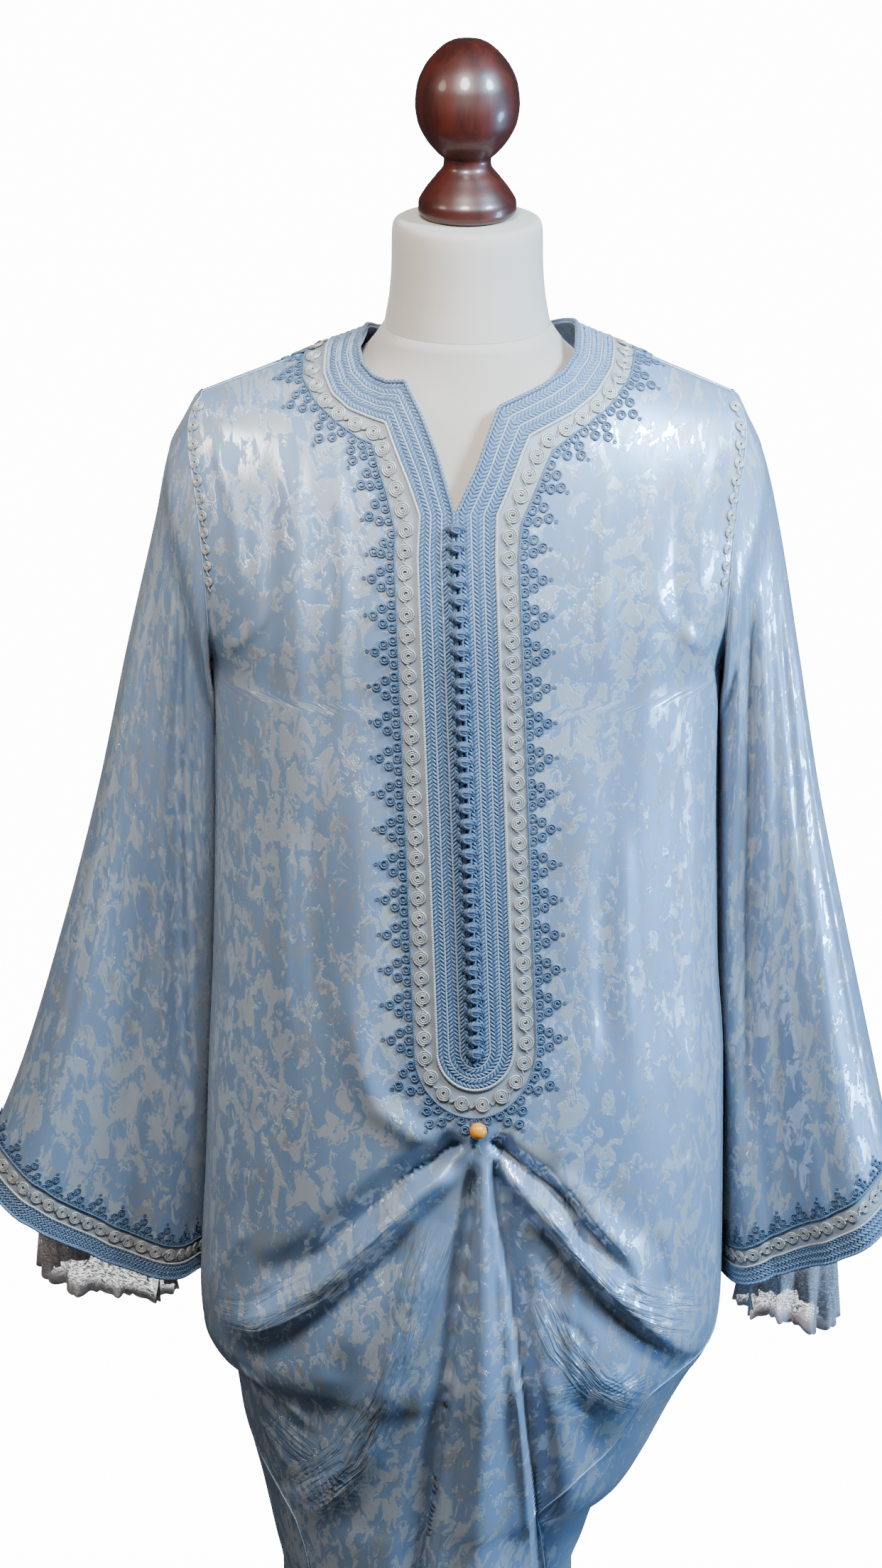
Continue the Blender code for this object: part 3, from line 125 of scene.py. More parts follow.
FRONT_FOLDS = (
    Fold("left crease", ((0.000, 0.890), (-0.010, 0.883), (-0.025, 0.870), (-0.045, 0.857), (-0.058, 0.843),
                         (-0.073, 0.827), (-0.088, 0.812), (-0.100, 0.799), (-0.110, 0.787), (-0.123, 0.773),
                         (-0.135, 0.759), (-0.150, 0.743), (-0.168, 0.729), (-0.184, 0.721)),
         -17, (6, 9), (20, 40), 0.05, 0.28, 0.9),
    Fold("left roll", ((-0.008, 0.874), (-0.040, 0.845), (-0.070, 0.812), (-0.100, 0.781), (-0.125, 0.757),
                       (-0.150, 0.732), (-0.175, 0.716), (-0.204, 0.702)), 12, (16, 34), (10, 15), 0.08, 0.12,
                       0.2),
    Fold("left roll foot", ((-0.034, 0.830), (-0.060, 0.796), (-0.090, 0.762), (-0.120, 0.730),
                            (-0.150, 0.704),
                            (-0.176, 0.684), (-0.196, 0.666)), -5, (24, 36), (15, 22), 0.25, 0.2, 0.2),
    Fold("left swag", ((-0.024, 0.812), (-0.042, 0.760), (-0.052, 0.720), (-0.062, 0.690), (-0.072, 0.655),
                       (-0.083, 0.618), (-0.100, 0.584), (-0.122, 0.556), (-0.152, 0.534)),
         9, (24, 28), (16, 26), 0.15, 0.15, 0.3),
    Fold("left flank hollow", ((-0.100, 0.726), (-0.098, 0.680), (-0.112, 0.638), (-0.140, 0.604)),
         -3.5, (22, 28), (20, 30), 0.3, 0.3),
    Fold("flap trough left", ((0.0085, 0.878), (0.005, 0.840), (0.003, 0.812), (-0.001, 0.785),
                              (-0.005, 0.756),
                              (-0.009, 0.726), (-0.012, 0.696), (-0.0155, 0.666), (-0.019, 0.636),
                              (-0.022, 0.606),
                              (-0.025, 0.576), (-0.028, 0.548), (-0.032, 0.520), (-0.042, 0.400),
                              (-0.047, 0.240)),
         -24, (6, 11), (16, 40), 0.06, 0.25, 0.8),
    Fold("flap", ((0.0105, 0.893), (0.0115, 0.840), (0.0130, 0.790), (0.0135, 0.740), (0.0135, 0.700),
                  (0.0125, 0.640),
                  (0.0115, 0.580), (0.0100, 0.520), (0.0080, 0.400), (0.0070, 0.180)), 10, (8, 44), (8, 44),
                  0.08, 0.02),
    Fold("flap trough right", ((0.0175, 0.886), (0.021, 0.860), (0.026, 0.830), (0.030, 0.800),
                               (0.034, 0.766),
                               (0.0375, 0.735), (0.042, 0.700), (0.046, 0.668), (0.049, 0.640),
                               (0.052, 0.610),
                               (0.0545, 0.580), (0.0565, 0.550), (0.058, 0.520), (0.062, 0.400),
                               (0.064, 0.240)),
         -21, (22, 46), (4, 7), 0.06, 0.25, 0.9),
    Fold("right crease", ((0.0165, 0.892), (0.030, 0.877), (0.045, 0.862), (0.060, 0.850), (0.074, 0.838),
                          (0.082, 0.826),
                          (0.086, 0.812), (0.094, 0.793), (0.106, 0.775), (0.118, 0.760)),
         -15, (16, 22), (5, 8), 0.05, 0.35, 0.9),
    Fold("right roll", ((0.024, 0.872), (0.050, 0.842), (0.074, 0.814), (0.094, 0.786), (0.110, 0.766),
                        (0.126, 0.746),
                        (0.142, 0.727), (0.158, 0.708), (0.174, 0.690), (0.192, 0.672)), 11, (12, 34),
                        (12, 16), 0.08, 0.10, 0.2),
    Fold("right roll foot", ((0.044, 0.826), (0.066, 0.798), (0.087, 0.768), (0.107, 0.743), (0.127, 0.720),
                             (0.149, 0.696), (0.170, 0.676), (0.188, 0.660)), -8, (12, 15), (26, 44), 0.15,
                             0.12, 0.4),
    Fold("right lens", ((0.086, 0.818), (0.098, 0.804), (0.112, 0.784), (0.124, 0.764)), -5, (10, 12),
         (8, 10), 0.2, 0.35, 0.4),
    Fold("right second ridge", ((0.067, 0.862), (0.080, 0.844), (0.092, 0.828), (0.106, 0.811),
                                (0.117, 0.798), (0.127, 0.784),
                                (0.134, 0.770), (0.142, 0.752), (0.156, 0.730)), 8, (16, 30), (6, 9), 0.12,
                                0.25, 0.7),
    Fold("right arc", ((0.107, 1.010), (0.098, 0.960), (0.084, 0.915), (0.076, 0.888), (0.068, 0.862)),
         5, (10, 18), (20, 26), 0.35, 0.15, 0.7),
    Fold("right deep hollow", ((0.056, 0.790), (0.070, 0.730), (0.084, 0.676), (0.098, 0.620),
                               (0.108, 0.560)),
         -8, (26, 36), (20, 30), 0.2, 0.25),
    Fold("bust pleat left", ((-0.131, 1.455), (-0.130, 1.374), (-0.132, 1.280), (-0.128, 1.120)),
         4, (13, 20), (13, 20), 0.20, 0.45),
    Fold("bust pleat right", ((0.142, 1.440), (0.140, 1.350), (0.138, 1.250), (0.132, 1.120)),
         3, (13, 20), (13, 20), 0.20, 0.45),
    Fold("long pleat left", ((-0.082, 1.240), (-0.083, 1.090), (-0.080, 0.990), (-0.076, 0.905)),
         6, (26, 34), (26, 34), 0.35, 0.30),
    Fold("long pleat right", ((0.090, 1.240), (0.088, 1.125), (0.085, 1.060), (0.082, 0.980)),
         5, (24, 30), (24, 30), 0.35, 0.30),
    Fold("side trough left", ((-0.160, 1.230), (-0.162, 1.060), (-0.160, 0.920), (-0.158, 0.830)),
         -6, (26, 34), (24, 30), 0.25, 0.25),
    Fold("side trough right", ((0.158, 1.230), (0.160, 1.060), (0.158, 0.920), (0.156, 0.820)),
         -6, (24, 30), (26, 34), 0.25, 0.25),
)
FRONT_WRINKLES = (
    Fold("hollow above roll", ((-0.112, 0.794), (-0.134, 0.776), (-0.154, 0.764), (-0.182, 0.756)),
         -5, (12, 16), (16, 26), 0.25, 0.35, 0.2),
    Fold("flank ridge", ((-0.172, 0.800), (-0.181, 0.784), (-0.192, 0.764), (-0.201, 0.740), (-0.207, 0.712)),
         6, (9, 12), (8, 12), 0.2, 0.25, 0.6),
    Fold("flank pleat", ((-0.168, 0.905), (-0.172, 0.860), (-0.178, 0.820), (-0.190, 0.780)), -4, (7, 10),
         (9, 12), 0.2, 0.3, 0.6),
    Fold("slant wrinkle", ((-0.186, 0.670), (-0.165, 0.658), (-0.145, 0.646), (-0.130, 0.635),
                           (-0.114, 0.620)),
         6, (7, 10), (7, 10), 0.1, 0.35, 0.6),
    Fold("slant wrinkle foot", ((-0.178, 0.652), (-0.152, 0.638), (-0.130, 0.624)), -5, (10, 14), (6, 8), 0.1,
         0.4, 0.5),
    Fold("low slant", ((-0.170, 0.622), (-0.156, 0.600), (-0.140, 0.580)), 4, (8, 10), (8, 10), 0.2, 0.3,
         0.4),
    Fold("roll crinkle 1", ((-0.030, 0.850), (-0.060, 0.818), (-0.088, 0.788), (-0.112, 0.764)), -2.2, (3, 5),
         (5, 6), 0.2, 0.3),
    Fold("roll crinkle 2", ((-0.060, 0.800), (-0.096, 0.768), (-0.130, 0.738), (-0.168, 0.712),
                            (-0.198, 0.690)),
         2.2, (5, 7), (4, 6), 0.2, 0.3),
    Fold("roll crinkle 3", ((-0.090, 0.776), (-0.130, 0.744), (-0.172, 0.716)), -1.8, (3, 5), (4, 5), 0.2,
         0.3),
    Fold("swag ripple 1", ((-0.038, 0.786), (-0.049, 0.744), (-0.058, 0.704), (-0.068, 0.668)), -2.0, (4, 5),
         (4, 6)),
    Fold("swag ripple 2", ((-0.044, 0.772), (-0.056, 0.730), (-0.066, 0.694), (-0.076, 0.656)), 2.8, (4, 5),
         (4, 5)),
    Fold("swag ripple 3", ((-0.064, 0.690), (-0.076, 0.646), (-0.088, 0.610), (-0.104, 0.580)), -2.0, (4, 5),
         (5, 6)),
    Fold("swag ripple 4", ((-0.072, 0.668), (-0.086, 0.628), (-0.102, 0.596), (-0.122, 0.568)), 2.8, (4, 5),
         (4, 5)),
    Fold("swag ripple 5", ((-0.092, 0.604), (-0.110, 0.578), (-0.134, 0.552)), -2.8, (4, 5), (4, 6)),
    Fold("swag ripple 6", ((-0.100, 0.600), (-0.120, 0.572), (-0.150, 0.548)), 2.4, (4, 5), (4, 5)),
    Fold("swag ripple 7", ((-0.110, 0.600), (-0.134, 0.574), (-0.158, 0.556)), -2.2, (4, 5), (4, 6)),
    Fold("flap edge line", ((0.0145, 0.884), (0.018, 0.850), (0.0235, 0.815), (0.028, 0.775), (0.033, 0.735),
                            (0.038, 0.695),
                            (0.0425, 0.650), (0.047, 0.600), (0.051, 0.545), (0.054, 0.480)), 3.5, (3, 5),
                            (5, 8), 0.06, 0.3, 0.6),
    Fold("flap crinkle", ((0.030, 0.742), (0.034, 0.700), (0.036, 0.664), (0.041, 0.630)), -1.4, (3, 4),
         (3, 4), 0.2, 0.3),
    Fold("right crinkle 1", ((0.090, 0.768), (0.082, 0.730), (0.086, 0.690), (0.080, 0.650)), 2.6, (4, 6),
         (6, 8), 0.2, 0.3),
    Fold("right crinkle 2", ((0.070, 0.740), (0.090, 0.722), (0.102, 0.700)), -2.2, (4, 5), (4, 6), 0.2, 0.3),
    Fold("right crinkle 3", ((0.116, 0.690), (0.128, 0.668), (0.134, 0.640)), 2.4, (4, 6), (4, 6), 0.2, 0.3),
    Fold("right crinkle 4", ((0.064, 0.668), (0.088, 0.656), (0.106, 0.636)), -2.0, (4, 5), (4, 5), 0.2, 0.3),
    Fold("right flank line", ((0.150, 0.800), (0.158, 0.756), (0.164, 0.722)), -3.0, (6, 9), (6, 9), 0.2,
         0.3),
    Fold("right flank line 2", ((0.176, 0.860), (0.182, 0.800), (0.184, 0.750)), 3.0, (6, 9), (6, 9), 0.2,
         0.3),
    Fold("pull above bead", ((-0.018, 0.889), (-0.045, 0.898), (-0.070, 0.916), (-0.083, 0.946),
                             (-0.091, 0.986), (-0.095, 1.050)),
         6, (16, 24), (14, 26), 0.12, 0.45, 0.2),
    Fold("chest line left", ((-0.098, 1.430), (-0.094, 1.330), (-0.100, 1.200)), 3.0, (9, 14), (8, 12), 0.2,
         0.4),
    Fold("chest line left 2", ((-0.150, 1.440), (-0.150, 1.340), (-0.154, 1.230), (-0.150, 1.120)), -3.6,
         (9, 14), (10, 14), 0.2, 0.4),
    Fold("chest line right", ((0.108, 1.430), (0.104, 1.340), (0.108, 1.230)), 2.6, (8, 12), (8, 13), 0.2,
         0.4),
    Fold("chest line right 2", ((0.162, 1.430), (0.160, 1.340), (0.164, 1.220), (0.160, 1.120)), -3.6,
         (10, 14), (9, 14), 0.2, 0.4),
    Fold("waist line left", ((-0.118, 1.180), (-0.120, 1.060), (-0.114, 0.950)), -4.0, (12, 16), (10, 14),
         0.3, 0.3),
    Fold("waist line left 2", ((-0.140, 1.160), (-0.144, 1.050), (-0.142, 0.930)), 4.0, (10, 14), (10, 14),
         0.3, 0.3),
    Fold("waist line right", ((0.122, 1.160), (0.124, 1.040), (0.130, 0.930)), 4.0, (10, 14), (12, 16), 0.3,
         0.3),
    Fold("waist line right 2", ((0.104, 1.120), (0.104, 1.010), (0.110, 0.940)), -3.4, (9, 12), (9, 12), 0.3,
         0.3),
    Fold("armpit pull left", ((-0.192, 1.262), (-0.160, 1.300), (-0.132, 1.352)), 2.6, (8, 14), (8, 12), 0.2,
         0.5),
    Fold("armpit pull right", ((0.192, 1.262), (0.162, 1.296), (0.136, 1.340)), 2.4, (8, 12), (8, 13), 0.2,
         0.5),
    Fold("shoulder ease left", ((-0.196, 1.440), (-0.178, 1.380), (-0.174, 1.310)), 2.6, (8, 10), (8, 12),
         0.2, 0.4),
    Fold("shoulder ease right", ((0.196, 1.436), (0.180, 1.380), (0.177, 1.316)), 2.6, (8, 12), (8, 10), 0.2,
         0.4),
)
BACK_FOLDS = (
    Fold("back pleat middle", ((0.004, 1.330), (0.002, 1.000), (-0.004, 0.600), (-0.008, 0.080)),
         9, (30, 52), (30, 50), 0.20, 0.02),
    Fold("back trough left", ((-0.066, 1.300), (-0.070, 1.000), (-0.076, 0.600), (-0.078, 0.080)),
         -9, (26, 34), (26, 38), 0.25, 0.02),
    Fold("back trough right", ((0.070, 1.290), (0.074, 1.000), (0.062, 0.600), (0.050, 0.080)),
         -8, (26, 34), (26, 34), 0.25, 0.02),
    Fold("back pleat left", ((-0.120, 1.220), (-0.128, 0.950), (-0.126, 0.600), (-0.118, 0.080)),
         7, (24, 34), (24, 32), 0.25, 0.02),
    Fold("back pleat right", ((0.124, 1.220), (0.130, 0.950), (0.112, 0.640), (0.092, 0.080)),
         6, (24, 30), (24, 32), 0.25, 0.02),
)
BACK_WRINKLES = (
    Fold("yoke ease left", ((-0.150, 1.400), (-0.110, 1.340), (-0.100, 1.240)), 2.2, (9, 14), (9, 12), 0.2,
         0.5),
    Fold("yoke ease right", ((0.150, 1.396), (0.114, 1.330), (0.106, 1.220)), 2.0, (9, 12), (9, 14), 0.2,
         0.5),
    Fold("back line 1", ((-0.030, 1.150), (-0.034, 0.900), (-0.030, 0.640)), -2.4, (10, 14), (9, 12), 0.3,
         0.4),
    Fold("back line 2", ((0.036, 1.080), (0.038, 0.840), (0.030, 0.560)), 2.4, (9, 13), (10, 14), 0.3, 0.4),
    Fold("back line 3", ((-0.094, 0.980), (-0.098, 0.760), (-0.094, 0.460)), 2.0, (9, 12), (9, 12), 0.3, 0.3),
    Fold("seat drag left", ((-0.030, 0.700), (-0.090, 0.672), (-0.150, 0.676)), 2.6, (9, 14), (9, 13), 0.3,
         0.3),
    Fold("seat drag right", ((0.036, 0.694), (0.094, 0.668), (0.150, 0.668)), 2.4, (9, 12), (10, 14), 0.3,
         0.3),
    Fold("blouse fold", ((-0.140, 0.706), (-0.040, 0.716), (0.060, 0.714), (0.140, 0.700)), 3.0, (14, 18),
         (10, 14), 0.3, 0.3),
    Fold("calf line left", ((-0.050, 0.420), (-0.054, 0.300), (-0.050, 0.120)), 2.0, (10, 14), (10, 14), 0.3,
         0.1),
    Fold("calf line right", ((0.030, 0.440), (0.026, 0.300), (0.028, 0.120)), -2.0, (10, 14), (10, 14), 0.3,
         0.1),
)

TRIM_LEFT = (
    (-0.0098, 1.3935, -0.0373, 1.3917, -0.0532, 1.3800),
    (-0.0227, 1.4364, -0.0450, 1.4130, -0.0598, 1.4068),
    (-0.0345, 1.4640, -0.0556, 1.4380, -0.0670, 1.4275),
    (-0.0470, 1.4862, -0.0625, 1.4556, -0.0715, 1.4425),
    (-0.0600, 1.4842, -0.0745, 1.4580, -0.0822, 1.4455),
    (-0.0715, 1.4862, -0.0905, 1.4625, -0.0985, 1.4542),
    (-0.0798, 1.4930, -0.1035, 1.4708, -0.1150, 1.4662),
    (-0.0822, 1.5022, -0.1102, 1.4825, -0.1243, 1.4790),
    (-0.0770, 1.5093, -0.1075, 1.4977, -0.1225, 1.4919),
)
TRIM_RIGHT = (
    (-0.0092, 1.3935, 0.0234, 1.3920, 0.0392, 1.3850),
    (0.0072, 1.4280, 0.0335, 1.4145, 0.0487, 1.4063),
    (0.0155, 1.4510, 0.0425, 1.4370, 0.0572, 1.4255),
    (0.0235, 1.4705, 0.0478, 1.4482, 0.0635, 1.4385),
    (0.0400, 1.4768, 0.0640, 1.4552, 0.0770, 1.4470),
    (0.0560, 1.4825, 0.0800, 1.4615, 0.0900, 1.4540),
    (0.0715, 1.4898, 0.0985, 1.4722, 0.1080, 1.4650),
    (0.0825, 1.5000, 0.1112, 1.4868, 0.1235, 1.4810),
    (0.0835, 1.5118, 0.1140, 1.5001, 0.1285, 1.4946),
)
ARM_COLUMNS = ("z", "x")
ARM = (
    (1.240, 0.2000), (1.300, 0.2012), (1.350, 0.2045), (1.390, 0.2090), (1.420, 0.2140), (1.438, 0.2150),
    (1.452, 0.2110), (1.460, 0.2050),
)
ARM_ROWS = (1.240, 1.262, 1.285, 1.310, 1.335, 1.358, 1.380, 1.402, 1.420, 1.434, 1.446, 1.454, 1.460)

SLEEVE_COLUMNS = ("v", "outer_x", "outer_z", "inner_x", "inner_z", "outer_y", "inner_y", "front", "back",
                  "bow")
SLEEVE_LEFT = (
    (0.00, 0.2064, 1.460, 0.2004, 1.240, 0.000, 0.000, 0.062, 0.062, 0.000),
    (0.025, 0.2155, 1.444, 0.1975, 1.227, 0.001, 0.006, 0.061, 0.061, 0.000),
    (0.07, 0.2310, 1.416, 0.1955, 1.202, 0.004, 0.018, 0.058, 0.058, 0.000),
    (0.16, 0.2430, 1.358, 0.1965, 1.152, 0.006, 0.032, 0.052, 0.054, 0.002),
    (0.33, 0.2680, 1.249, 0.1965, 1.062, 0.008, 0.042, 0.046, 0.050, 0.005),
    (0.51, 0.2930, 1.131, 0.1980, 0.964, 0.008, 0.048, 0.046, 0.050, 0.008),
    (0.69, 0.3235, 1.015, 0.2005, 0.866, 0.006, 0.052, 0.052, 0.054, 0.011),
    (0.86, 0.3595, 0.897, 0.2045, 0.778, 0.004, 0.056, 0.058, 0.060, 0.014),
    (1.00, 0.3945, 0.812, 0.2085, 0.707, 0.002, 0.060, 0.062, 0.064, 0.017),
)
SLEEVE_RIGHT = (
    (0.00, 0.2064, 1.460, 0.2004, 1.240, 0.000, 0.000, 0.062, 0.062, 0.000),
    (0.025, 0.2145, 1.444, 0.1975, 1.227, 0.001, 0.006, 0.061, 0.061, 0.000),
    (0.07, 0.2290, 1.416, 0.1955, 1.202, 0.004, 0.018, 0.058, 0.058, 0.000),
    (0.16, 0.2430, 1.358, 0.1965, 1.152, 0.006, 0.032, 0.052, 0.054, 0.002),
    (0.33, 0.2615, 1.249, 0.1965, 1.062, 0.008, 0.042, 0.046, 0.050, 0.004),
    (0.51, 0.2805, 1.131, 0.1970, 0.964, 0.008, 0.048, 0.046, 0.050, 0.006),
    (0.69, 0.3045, 1.015, 0.1985, 0.866, 0.006, 0.052, 0.052, 0.054, 0.008),
    (0.86, 0.3300, 0.897, 0.2005, 0.778, 0.004, 0.056, 0.058, 0.060, 0.010),
    (1.00, 0.3540, 0.783, 0.2030, 0.704, 0.002, 0.060, 0.062, 0.064, 0.012),
)
# angles at top and cuff, height in mm, width in degrees, shares of the sleeve where it starts and ends
SLEEVE_FOLDS_LEFT = (
    (128, 128, 9, 24, 0.05, 9.0), (152, 152, -9, 16, 0.08, 9.0), (88, 88, -5, 22, 0.30, 9.0),
    (52, 52, 6, 22, 0.25, 9.0), (232, 232, 7, 24, 0.20, 9.0), (268, 268, -8, 22, 0.20, 9.0),
    (304, 304, 6, 22, 0.25, 9.0),
    (70, 148, -11, 11, 0.06, 0.86), (54, 132, 5, 12, 0.06, 0.90), (86, 162, 6, 11, 0.10, 0.80),
    (30, 84, -3.5, 9, 0.12, 0.80), (18, 40, 2.5, 9, 0.20, 0.95), (100, 96, 2.5, 8, 0.45, 1.20),
    (60, 58, -2.5, 8, 0.55, 1.20), (214, 210, -2.5, 9, 0.25, 1.20), (250, 248, 2.5, 9, 0.30, 1.20),
    (286, 290, -2.5, 9, 0.30, 1.20), (330, 326, 2.5, 9, 0.20, 1.20),
)
SLEEVE_FOLDS_RIGHT = (
    (132, 132, 10, 22, 0.05, 9.0), (154, 154, -9, 15, 0.08, 9.0), (96, 96, -8, 24, 0.35, 9.0),
    (56, 56, 9, 24, 0.30, 9.0), (236, 236, 7, 24, 0.20, 9.0), (272, 272, -7, 22, 0.20, 9.0),
    (306, 306, 6, 22, 0.25, 9.0),
    (76, 136, -11, 11, 0.08, 0.90), (58, 118, 5, 13, 0.08, 0.95), (96, 168, 7, 13, 0.04, 0.45),
    (34, 70, -3.5, 9, 0.15, 0.85), (16, 30, 2.5, 9, 0.20, 0.95), (84, 78, 3.0, 9, 0.50, 1.20),
    (108, 112, -2.5, 8, 0.55, 1.20), (216, 212, -2.5, 9, 0.25, 1.20), (254, 252, 2.5, 9, 0.30, 1.20),
    (290, 292, -2.5, 9, 0.30, 1.20), (332, 328, 2.5, 9, 0.20, 1.20),
)
ARM_GAP = 0.0007
SLEEVE_TOP_X = 0.2064
SLEEVE_BLEND_V = 0.14
CUFF_BRAID = (0.953, 0.9985)
CUFF_COILS_V = 0.931
FRILL_SEAM_V = 0.945
FRILL_SEAM_INSET = 0.0054
FRILL_COLUMNS = ("middle_x", "half_x", "middle_y", "half_y", "outer_low_z", "inner_low_z")
FRILL_LEFT = (0.294, 0.053, 0.034, 0.036, 0.704, 0.688)
FRILL_RIGHT = (0.264, 0.039, 0.035, 0.033, 0.658, 0.678)

FORM_COLUMNS = ("z", "half", "front", "back")
FORM = (
    (0.760, 0.140, 0.088, 0.092),
    (0.772, 0.152, 0.096, 0.100),
    (0.820, 0.163, 0.104, 0.108),
    (0.900, 0.164, 0.105, 0.106),
    (1.000, 0.146, 0.098, 0.090),
    (1.060, 0.134, 0.092, 0.083),
    (1.150, 0.142, 0.104, 0.084),
    (1.240, 0.154, 0.114, 0.088),
    (1.310, 0.164, 0.115, 0.092),
    (1.360, 0.170, 0.109, 0.094),
    (1.396, 0.172, 0.101, 0.092),
    (1.430, 0.160, 0.091, 0.083),
    (1.460, 0.1312, 0.0807, 0.0737),
    (1.480, 0.0971, 0.0723, 0.0667),
    (1.496, 0.0769, 0.0678, 0.0648),
    (1.508, 0.0680, 0.0655, 0.0645),
    (1.5130, 0.0650, 0.0650, 0.0640),
)
NECK_PROFILE = (
    (0.0645, 1.5133), (0.0632, 1.520), (0.0600, 1.540), (0.0585, 1.562), (0.0582, 1.584), (0.0576, 1.5915),
    (0.0556, 1.5955), (0.0520, 1.5970),
)
FINIAL_PROFILE = (
    (0.0300, 1.5973), (0.0345, 1.5990), (0.0378, 1.6035), (0.0378, 1.6090), (0.0335, 1.6180),
    (0.0245, 1.6300), (0.0185, 1.6385), (0.0182, 1.6430), (0.0230, 1.6480), (0.0320, 1.6590),
    (0.0385, 1.6730), (0.0402, 1.6860), (0.0388, 1.7000), (0.0340, 1.7130), (0.0260, 1.7240),
    (0.0170, 1.7320), (0.0120, 1.7345),
)
POLE_RADIUS = 0.0150
BASE_PROFILE = (
    (0.190, 0.0000), (0.192, 0.0020), (0.192, 0.0150), (0.186, 0.0200), (0.060, 0.0240), (0.034, 0.0260),
)


class Side(Enum):
    """Which side of the picture a piece is on."""

    LEFT = -1
    RIGHT = 1

    @property
    def label(self) -> str:
        """The side's word in a piece's name."""
        return self.name.lower()


def column(rows: Sequence[tuple], names: Sequence[str], name: str, at: np.ndarray) -> np.ndarray:
    """Monotone cubic through one named column of a table, over its first column.

    Args:
        rows: the table.
        names: its column names.
        name: the column read.
        at: values of the first column.

    Returns:
        The column's values there.
    """
    grid = np.array([row[0] for row in rows], float)
    values = np.array([row[names.index(name)] for row in rows], float)
    at = np.clip(np.asarray(at, float), grid[0], grid[-1])
    step = np.diff(grid)
    slope = np.diff(values) / step
    tangent = np.zeros_like(values)
    same = slope[:-1] * slope[1:] > 0
    tangent[1:-1][same] = 2 * slope[:-1][same] * slope[1:][same] / (slope[:-1] + slope[1:])[same]
    k = np.clip(np.searchsorted(grid, at, side="right") - 1, 0, len(grid) - 2)
    t = (at - grid[k]) / step[k]
    start = values[k] * (1 + 2 * t) * (1 - t) ** 2 + step[k] * tangent[k] * t * (1 - t) ** 2
    end = values[k + 1] * t * t * (3 - 2 * t) - step[k] * tangent[k + 1] * t * t * (1 - t)
    return start + end


def body(name: str, z: np.ndarray) -> np.ndarray:
    """A named column of the body's table at heights z."""
    return column(BODY, BODY_COLUMNS, name, z)


def ease(t: np.ndarray) -> np.ndarray:
    """Smooth step from 0 to 1."""
    t = np.clip(t, 0, 1)
    return t * t * (3 - 2 * t)


def fold_height(folds: Sequence[Fold], x: np.ndarray, z: np.ndarray) -> np.ndarray:
    """Sum of the folds' heights.

    Args:
        folds: the folds of a panel.
        x: places across the panel.
        z: places up the panel.

    Returns:
        Heights in metres.
    """
    x, z = np.broadcast_arrays(np.asarray(x, float), np.asarray(z, float))
    total = np.zeros(x.shape)
    for fold in folds:
        path = np.array(fold.path, float)
        reach = max(*fold.left, *fold.right) / 1000
        close = (x > path[:, 0].min() - reach) & (x < path[:, 0].max() + reach)
        close &= (z > path[:, 1].min() - reach) & (z < path[:, 1].max() + reach)
        if not close.any():
            continue
        px, pz = x[close], z[close]
        lengths = np.hypot(*np.diff(path, axis=0).T)
        starts = np.concatenate([[0], np.cumsum(lengths)])
        nearest = np.full(px.shape, 1e9)
        side = np.zeros(px.shape)
        along = np.zeros(px.shape)
        for k, length in enumerate(lengths):
            ux, uz = (path[k + 1] - path[k]) / length
            dx, dz = px - path[k][0], pz - path[k][1]
            t = np.clip(dx * ux + dz * uz, 0, length)
            away = np.hypot(dx - t * ux, dz - t * uz)
            closer = away < nearest
            nearest = np.where(closer, away, nearest)
            side = np.where(closer, ux * dz - uz * dx, side)
            along = np.where(closer, (starts[k] + t) / starts[-1], along)
        left = fold.left[0] + (fold.left[1] - fold.left[0]) * along
        right = fold.right[0] + (fold.right[1] - fold.right[0]) * along
        near = np.clip(1 - nearest * 1000 / np.where(side > 0, left, right), 0, 1)
        shape = near**1.6 * fold.point + ease(near) * (1 - fold.point)
        total[close] += fold.height / 1000 * shape * ease(along / fold.rise) * ease((1 - along) / fold.fall)
    return total


def shoulder_top(x: np.ndarray, neck_top: float) -> np.ndarray:
    """Height over x at which the front and the back meet, carried on over the neck to neck_top."""
    x = np.asarray(x, float)
    neck = np.where(x < 0, NECK_LINE_LEFT, NECK_LINE_RIGHT)
    out = np.clip((np.abs(x) - neck) / (SHOULDER_TIP_X - neck), 0, 1.3)
    inner = np.clip(np.abs(x) / neck, 0, 1)
    return NECK_POINT_Z - (NECK_POINT_Z - TIP_Z) * out + (neck_top - NECK_POINT_Z) * (1 - inner**2)


def section(x: np.ndarray, z: np.ndarray) -> np.ndarray:
    """Share of the full depth at x on the section at height z."""
    left, right = body("left", z), body("right", z)
    ratio = np.clip((x - (right - left) / 2) / ((left + right) / 2), -1, 1)
    return np.sqrt(1 - ratio**2)


def dome(x: np.ndarray, z: np.ndarray, neck_top: float) -> np.ndarray:
    """Share of the depth that is left near the shoulder line."""
    rise = np.clip((z - DOME_Z) / (shoulder_top(x, neck_top) - DOME_Z), 0, 1)
    return np.sqrt(1 - rise**2)


def front_y(x: np.ndarray, z: np.ndarray) -> np.ndarray:
    """Depth of the front panel's outer side."""
    share = section(x, z)
    top = dome(x, z, FRONT_NECK_TOP_Z)
    folds = fold_height(FRONT_FOLDS, x, z) + fold_height(FRONT_WRINKLES, x, z)
    return -(body("front", z) * share**0.85 * top + folds * share**0.5 * top + SEAM_GAP / 2)


def back_y(x: np.ndarray, z: np.ndarray) -> np.ndarray:
    """Depth of the back panel's outer side."""
    share = section(x, z)
    top = dome(x, z, BACK_NECK_TOP_Z)
    folds = fold_height(BACK_FOLDS, x, z) + fold_height(BACK_WRINKLES, x, z)
    return body("back", z) * share**0.9 * top + folds * share**0.5 * top + SEAM_GAP / 2


def slit_x(z: np.ndarray) -> np.ndarray:
    """The slit's line."""
    return SLIT_X + SLIT_LEAN * (np.asarray(z, float) - SLIT_Z)


